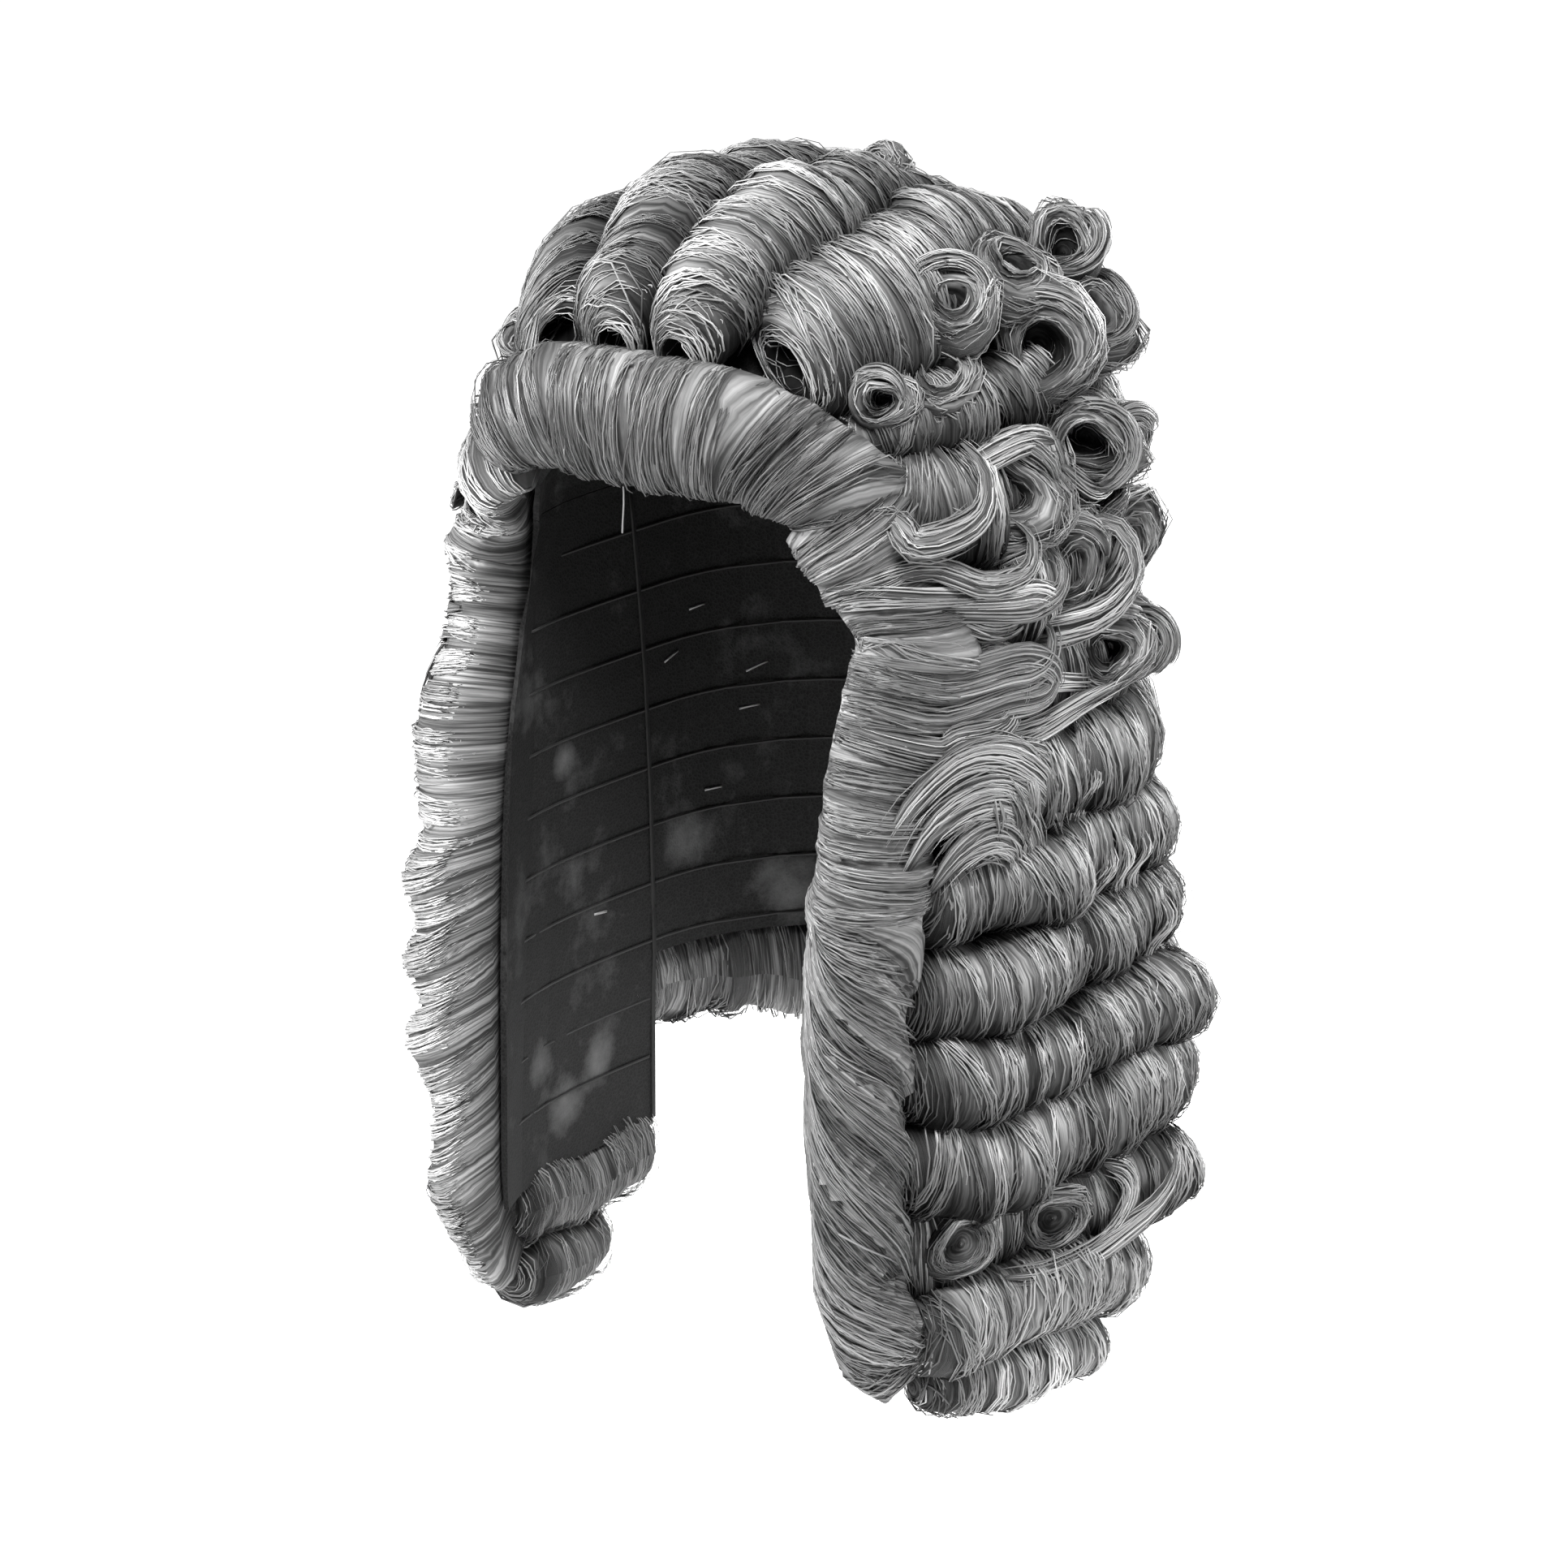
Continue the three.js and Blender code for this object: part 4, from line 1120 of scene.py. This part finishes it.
def makeBrushed(node, extra=(), **given):
    look, sweep = brushLook, {**sweepDefaults, **given}
    line = sweep["edge"](np.linspace(0, 1, 60))
    sweep["length"] = length = pathLength(line)
    sweep["locks"] = locks = splitLocks(length, *sweep["lockWidth"])
    seed = dice.uniform(0, 6)
    steps = round(length / sweep["step"])
    profile = [(0, 0), (0, 0.5), (0, 0.9)] + [(length * i / steps, 1) for i in range(steps + 1)]
    profile += [(length, 0.9), (length, 0.5), (length, 0)]
    mesh, along, turn, rho = turnedBase(profile, sweep["sides"])
    share = turn / fullTurn
    w = along / length
    drift = sweep["drift"](w, share)
    lift = sweepRelief(sweep, w - drift / length, share) * smooth(0.5, 1, rho)
    shadeV = np.interp(share, sweep["shadeShare"], sweep["shadeV"])
    place = sweepPlace(sweep, w, share, rho, lift)[0]
    dressBase(mesh, place, turn, rho, w, lambda part: lerp(*look["mapV"], part),
              lambda corners, angle: ((along - drift)[corners] + 50 * seed, angle * look["flowRound"]),
              look["shade"] * np.interp(shadeV, look["shadeV"], look["shadeRange"]))
    count = round(sweep["density"] * length)
    each = (count, 1)
    w0 = dice.uniform(-0.005, 1.005, count)
    i, x = lockAt(locks, w0 * length)
    middle = 0.5 * (locks["edges"][i] + locks["edges"][i + 1]) / length
    start = sweep["from"] + dice.uniform(*look["startSpread"], count)
    end = sweep["to"] + dice.uniform(*look["endSpread"], count)
    start, end = someShorter(start, end, look["short"])
    t = np.linspace(0, 1, sweep["segments"] + 1)
    share = start[:, None] + (end - start)[:, None] * t
    gather = look["gatherLeast"] + dice.uniform(*look["gather"], each) * np.abs(2 * t - 1) ** 1.5
    base = w0[:, None] + gather * (middle - w0)[:, None]
    sideways = dice.normal(0, look["ripple"], each) * np.sin(4 * t + dice.uniform(0, 6, each))
    sideways = sideways + sweep["waves"] * np.sin(5 * share + 5 * locks["phase"][i][:, None])
    crosses = dice.random(each) < look["crossShare"]
    sideways = sideways + crosses * dice.normal(0, look["cross"], each) * (share - 0.5)
    sideways = sideways + sweep["lockLean"] * locks["lean"][i][:, None] * (share - 0.5) * 2
    w = base + (sideways + sweep["drift"](base, share) * (1 + dice.normal(0, look["drift"], each))) / length
    w = np.clip(w, dice.uniform(*look["begin"], each), dice.uniform(*look["finish"], each))
    lift = sweepRelief(sweep, base, share) + look["lift"] + np.abs(dice.normal(0, look["liftSpread"], each))
    stray = (dice.random(each) < look["strayShare"]) * dice.uniform(look["strayLeast"], sweep["stray"], each)
    lift = lift + stray * np.sin(math.pi * t) ** 2
    place, normal = sweepPlace(sweep, w, share, np.ones_like(share), lift)
    least, more = look["tone"]
    tone = least + more * locks["tone"][i] + dice.normal(0, hairFinish["strandSpread"], count) + sweep["tone"]
    shadeV = np.interp(share, sweep["shadeShare"], sweep["shadeV"])
    strands = strandMesh(place, normal, strandRadii(count, len(t)), tone - gapShade(x), shadeV)
    joinHair(node, [mesh, strands, *extra])


archZ = np.linspace(-63.01, -100, 200)
archX = sidePoint(edgeY(archZ), archZ)[..., 0]


def archEdge(w):  # the edge over the forehead, from side to side
    x = lerp(-72.0, 72.0, w)
    return points(x, np.interp(np.abs(x), archX, edgeY(archZ)), np.interp(np.abs(x), archX, archZ))


fringeLook = {
    "section": [(0, 0), (-4, 5), (-5, 11), (1, 17), (10, 21), (20, 22), (28, 16), (31, 0)],
    "heart": (12, 9), "from": 0.13, "to": 0.84, "density": 4.6, "lockWidth": (3, 8), "lockLean": 3.4,
    "waves": 2.0, "relief": 2.6, "unevenness": 2.6, "stray": 5.0, "swells": 0.4, "tone": -0.27,
    # painted shade and highlight: the fringe is darkest along its lower edge and lightest near its top
    "shadeShare": [0, 0.16, 0.32, 0.5, 0.66, 0.78, 0.86, 1],
    "shadeV": [0.40, 0.42, 0.45, 0.48, 0.52, 0.575, 0.52, 0.38],
}


def fringeSize(w):
    return lerp(1.3, 1.0, (2 * w - 1) ** 2), 0.5 + 0.55 * smooth(1, 0.9, np.abs(2 * w - 1))


def fringeDrift(w, share):
    return (2 * w - 1) * 30 * np.maximum(share - sectionFrom, 0) + 3 * np.sin(9 * w)


makeBrushed("fringe", edge=archEdge, size=fringeSize, drift=fringeDrift, **fringeLook)

bandLook = {
    "section": [(0, 0), (-7, 8), (-9, 17), (-6, 26), (2, 32), (12, 32), (19, 26), (23, 14), (24, 0)],
    "heart": (10, 16), "from": 0.11, "to": 0.84, "density": 2.2, "swells": 3.0,
    "topZ": -73.0, "tipZ": -399.0,
    "sizeZ": [-402, -392, -376, -340, -300, -250, -200, -140, -100, -84, -73],
    "full": [0.30, 0.54, 0.68, 0.8, 1, 1.05, 1.05, 0.92, 0.8, 0.72, 0.45],
    "wide": [0.8, 0.95, 1, 1, 1, 1.05, 1.2, 1.4, 1.45, 1.4, 1.3],
    "fallZ": [-400, -370, -340, -290, -235, -200, -160, -84], "fall": [20, 80, 124, 132, 90, 0, 6, -8],
    "bowZ": [-400, -300, -235, -200, -160, -84], "bow": [2, 2, 10, 10, -4, 0],
    # painted light and shade: the far band, on the right, is made lighter and the near one, on the left,
    # darker
    "fallShare": {"left": 1, "right": 0.3}, "paintedSideLight": {"left": -0.26, "right": 0.10}, "lockTone": 0.06,
    "rough": {"left": 1, "right": 0.35},   # how far its locks stand out from each other
}


def bandZ(w):
    return lerp(bandLook["topZ"], bandLook["tipZ"], w)


def lappetEdge(w):  # the edge down a lappet
    return sidePoint(edgeY(bandZ(w)), bandZ(w))


def bandDrift(w, share):
    c = np.clip(sectionPart(share), 0, 1)
    fall, bow = [np.interp(bandZ(w), bandLook[key + "Z"], bandLook[key]) for key in ("fall", "bow")]
    return fall * (c - 0.4) + bow * np.sin(math.pi * c)


def bandSize(w):
    return [np.interp(bandZ(w), bandLook["sizeZ"], bandLook[key]) for key in ("wide", "full")]


bandSweep = {"side": 1, "edge": lappetEdge, "size": bandSize}
bandSweep.update({key: bandLook[key] for key in ("section", "heart", "from", "to", "density", "swells")})


def edgeLock(z, side, tone):  # a lock brushed from the band back into the curls, where it hooks up or down
    drop, reach = dice.uniform(0, 10), dice.uniform(28, 60)
    w = (z - drop * np.array([0, 0.2, 0.4]) - bandLook["topZ"]) / (bandLook["tipZ"] - bandLook["topZ"])
    onBand = sweepPlace(bandSweep, w, np.array([0.34, 0.45, 0.56]), np.ones(3), 0.2)[0]
    hook = dice.choice([-1, 1]) * dice.uniform(0.7, 1.5)
    rise = hook * np.array([0, 1, 5, 13, 20]) - drop * np.array([0.6, 0.8, 1, 1, 1])
    loose = sidePoint(edgeY(z) + reach + np.array([-20, -8, 2, 7, 3]), z + rise)
    loose = loose + netNormal(loose) * np.array([[33], [34], [34], [31], [24]])
    return lockMeshes(np.concatenate([onBand, loose]), side=side, width=dice.uniform(9, 15), thick=3,
                      strands=17, segments=12, tone=tone + dice.normal(0, 0.08))


edgeLockZ = [-84, -92, -100, -109, -118, -127, -137, -147, -158, -169]
for side, sideName in bothSides:
    rough, tone = bandLook["rough"][sideName], bandLook["paintedSideLight"][sideName]
    brushedBack = []
    for z in edgeLockZ:
        brushedBack += edgeLock(z + dice.uniform(-3, 3), side, tone + bandLook["lockTone"])
    sweep = {**bandSweep, "side": side, "relief": 2.2 * rough, "unevenness": 2.0 * rough,
             "stray": 0.4 + 2.0 * rough, "tone": tone}
    makeBrushed(f"edge_band_{sideName}", brushedBack,
                drift=lambda w, share: bandDrift(w, share) * bandLook["fallShare"][sideName], **sweep)
print("fringe and edge bands made")

# Pin curls: flat rings low on each lappet; two locks trail from the second ring on the left
pinCurls = {
    "places": [(-68, -345, 22), (-25, -347, 25)],   # y, z and how far out, in mm
    "radius": 13.5,
    "ring": {"turnOut": 0.70, "lift": 0, "frontHollow": 0.74, "frontDepth": 3, "frontCap": 3, "rings": 64,
             "ringLeast": 0.86, "hollowShade": 0.26, "density": 1.4, "length": 15, "dive": 4, "layers": 0.4,
             "tilt": 0.05, "spiral": 0.08},
    "trails": [
        [(-54, -361, 22), (-34, -365, 26), (-12, -364, 29), (6, -358, 33), (20, -351, 37), (29, -341, 39),
         (32, -330, 38)],
        [(-6, -329, 31), (4, -334, 34), (8, -344, 34), (2, -355, 32), (-10, -362, 29)],
    ],
    "trailLook": {"width": 12, "thick": 4, "strands": 36, "tone": -0.06},
}
for side, sideName in bothSides:
    for number, (y, z, out) in enumerate(pinCurls["places"], 1):
        foot = sidePoint(np.array(float(y)), np.array(float(z)))
        place = foot + netNormal(foot) * out
        meshes = curlMeshes(barrel(place, pinCurls["radius"], side=side, **pinCurls["ring"]))
        for trail in pinCurls["trails"] if (number, side) == (2, 1) else []:
            meshes += lockMeshes(overNet(trail), side=side, **pinCurls["trailLook"])
        joinHair(f"pin_curl_{sideName}_{number}", meshes)
print("pin curls made")


# Net: black mesh with darker holes and a few paler grey patches
netFinish = {
    "thread": 0.014, "hole": 0.005, "patch": 0.14, "roughness": 0.8, "gloss": 0.25, "bump": 0.7,
    "meshScale": 620, "spotScale": 26,
    # pale patches on the right, in mm, and how far each reaches
    "thin": [((-88, 18, -249), 17), ((-70, 63, -276), 20), ((-90, -29, -330), 14), ((-90, -49, -341), 15),
             ((-90, -71, -317), 12), ((-86, -60, -200), 9)],
}


def makeNet():
    material, shader = newFinish("black net")
    tree = shader.id_data
    where = addNode(tree, "TexCoord", {}).outputs["Object"]
    weave = {"Scale": netFinish["meshScale"], "Vector": where}
    mesh = addNode(tree, "TexVoronoi", weave, feature="DISTANCE_TO_EDGE").outputs["Distance"]
    threads = greyRamp(tree, mesh, [(0.02, netFinish["thread"]), (0.12, netFinish["hole"])])
    spots = {"Scale": netFinish["spotScale"], "Detail": 6, "Roughness": 0.65, "Vector": where}
    total = addNode(tree, "TexNoise", spots).outputs["Fac"]
    for place, reach in netFinish["thin"]:
        away = addNode(tree, "VectorMath", {0: where, 1: [c * mm for c in place]}, operation="DISTANCE")
        near = remap(tree, away.outputs["Value"], 0.3 * reach * mm, reach * mm, 0.3, 0)
        total = compute(tree, "ADD", total, near)
    paleShare = remap(tree, total, 0.55, 0.95, 0, 0.8)
    patch = (netFinish["patch"],) * 3 + (1,)
    colour = addNode(tree, "Mix", {"Factor": paleShare, "A": threads, "B": patch}, data_type="RGBA")
    bump = {"Strength": netFinish["bump"], "Distance": 0.3 * mm, "Height": mesh}
    feed(shader, {"Base Color": colour.outputs["Result"], "Roughness": netFinish["roughness"],
                  "Normal": addNode(tree, "Bump", bump, invert=True).outputs["Normal"],
                  "Specular IOR Level": netFinish["gloss"]})
    return material


blackNet = makeNet()
for name in ("crown_net", "back_net", "side_net_left", "side_net_right"):
    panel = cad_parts[name]
    panel.data.materials.clear()
    panel.data.materials.append(blackNet)
print("net finished")

# On the inside of the net: lines of weft, a line down each seam, a few pale stitches and one loose thread
liningLook = {
    "wefts": range(-122, -356, -24), "backHemZ": -298, "weftRadius": 0.3, "seamRadius": 0.6, "inset": 2.3,
    "stitchRadius": 0.26, "threadRadius": 0.22, "darkTone": 0.3, "paleTone": 0.5, "shadeV": 0.55,
    "black": 0.006,
    # y and z on the right side
    "stitches": [(19, -157), (5, -174), (46, -185), (44, -201), (30, -232), (-32, -268)],
    "threadTop": (-20, -103, -66), "threadDrop": 27,
}


def insideNet(p):
    return p - netNormal(p) * liningLook["inset"]


def threadMesh(path, radius, tone):
    thick = np.full((1, len(path)), radius)
    shadeV = np.full((1, len(path)), liningLook["shadeV"])
    return strandMesh(path[None], netNormal(path)[None], thick, np.array([tone]), shadeV)


def weftPath(z):
    if z < liningLook["backHemZ"]:
        return [insideNet(sidePoint(np.linspace(edgeY(z) + 8, 2, 10), z)) * [side, 1, 1] for side in (1, -1)]
    flank = sidePoint(np.linspace(edgeY(z) + 8, 34, 12), z)
    half = np.concatenate([flank, backPoint(np.linspace(flank[-1, 0], 0, 8)[1:], z)])
    return [insideNet(np.concatenate([half, half[-2::-1] * [-1, 1, 1]]))]


def makeLining():
    look = liningLook
    feed(newFinish("black thread")[1], {"Base Color": (look["black"],) * 3 + (1,), "Roughness": 0.8})
    lines = [path for z in look["wefts"] for path in weftPath(z + 2.0)]
    meshes = [threadMesh(path, look["weftRadius"], look["darkTone"]) for path in lines]
    seamZ = np.linspace(-102, -362, 24)
    seam = insideNet(sidePoint(np.interp(seamZ, netForm["seamZ"], netForm["seamY"]), seamZ))
    meshes += [threadMesh(seam * [side, 1, 1], look["seamRadius"], look["darkTone"]) for side in (1, -1)]
    joinPiece("lining_wefts", meshes, None, "black thread")
    pale = []
    for y, z in look["stitches"]:
        line = sidePoint(y + np.linspace(-4, 4, 4), z + np.linspace(-1, 1, 4) * dice.normal(0, 1))
        pale.append(threadMesh(insideNet(line) * [-1, 1, 1], look["stitchRadius"], look["paleTone"]))
    x, y, z = look["threadTop"]
    t = np.linspace(0, 1, 8)
    loose = points(x + np.sin(4 * t), y + 2 * t, z - look["threadDrop"] * t)
    pale.append(threadMesh(loose, look["threadRadius"], look["paleTone"]))
    joinPiece("lining_threads", pale)


makeLining()
print("lining threads made")

# Camera at the photograph's angle, lights and floor
view = {"azimuth": 38, "elevation": 17, "distance": 2.6, "lens": 159.9, "sensor": 36, "aim": (0, 0, -0.198),
        "moveRight": -0.0203, "moveUp": -0.0094}


def aimCamera():
    az, el = math.radians(view["azimuth"]), math.radians(view["elevation"])
    back = Vector((math.sin(az) * math.cos(el), -math.cos(az) * math.cos(el), math.sin(el)))
    right = Vector((math.cos(az), math.sin(az), 0))
    up = back.cross(right)
    aim = Vector(view["aim"]) + right * view["moveRight"] + up * view["moveUp"]
    data = bpy.data.cameras.new("camera")
    data.lens = view["lens"]
    data.sensor_width = view["sensor"]
    data.clip_end = 50
    camera = addObject("camera", data)
    turn = Matrix((right, up, back)).transposed().to_4x4()
    camera.matrix_world = Matrix.Translation(aim + back * view["distance"]) @ turn
    bpy.context.scene.camera = camera
    return back, right


viewBack, viewRight = aimCamera()

studio = {
    "lamps": [
        {"name": "key", "from": (-0.1, 1.3, 1.0), "size": 0.5, "power": 47},
        {"name": "fill", "from": (1.4, 0.5, 0.8), "size": 0.7, "power": 12},
        {"name": "rim", "from": (1.3, 0.5, -1.0), "size": 0.9, "power": 38},
        {"name": "left edge", "from": (-1.3, 0.55, 0.25), "size": 0.7, "power": 36},
    ],
    "around": 0.18,
    "aim": (0, 0, -0.2),
    "floorZ": -0.60,
    "floorSize": 40,
    "floorGrey": 0.95,
    "floorSeen": 0.85,   # keeps the floor pale as far as it shows
    "floorLight": 0.08,
}


def lightStudio():
    aim = Vector(studio["aim"])
    level = Vector((viewBack.x, viewBack.y, 0)).normalized()
    for lamp in studio["lamps"]:
        data = bpy.data.lights.new(lamp["name"], "AREA")
        data.shape = "DISK"
        data.size = lamp["size"]
        data.energy = lamp["power"]
        obj = addObject(lamp["name"], data)
        r, u, b = lamp["from"]
        place = aim + viewRight * r + Vector((0, 0, 1)) * u + level * b
        obj.location = place
        obj.rotation_euler = (place - aim).to_track_quat("Z", "Y").to_euler()
    world = bpy.data.worlds.new("studio")
    bpy.context.scene.world = world
    world.use_nodes = True
    feed(world.node_tree.nodes["Background"], {"Color": (1, 1, 1, 1), "Strength": studio["around"]})
    bm = bmesh.new()
    bmesh.ops.create_grid(bm, x_segments=4, y_segments=4, size=studio["floorSize"])
    bmesh.ops.translate(bm, verts=bm.verts[:], vec=(0, 0, studio["floorZ"]))
    mesh = bpy.data.meshes.new("floor")
    bm.to_mesh(mesh)
    bm.free()
    floor = addObject("floor", mesh)
    paper, shader = newFinish("pale floor")
    seen = addNode(shader.id_data, "LightPath", {}).outputs["Is Camera Ray"]
    glow = remap(shader.id_data, seen, 0, 1, studio["floorLight"], studio["floorSeen"])
    feed(shader, {"Base Color": (studio["floorGrey"],) * 3 + (1,), "Roughness": 0.9,
                  "Emission Color": (1, 1, 1, 1), "Emission Strength": glow})
    mesh.materials.append(paper)


lightStudio()
bpy.context.scene.view_settings.view_transform = "Standard"
print("studio set")

sizes = {piece.name: sum(len(p.vertices) - 2 for p in piece.data.polygons) for piece in hairPieces}
print("hair triangles:", sum(sizes.values()), "most in one piece:", max(sizes.values()))
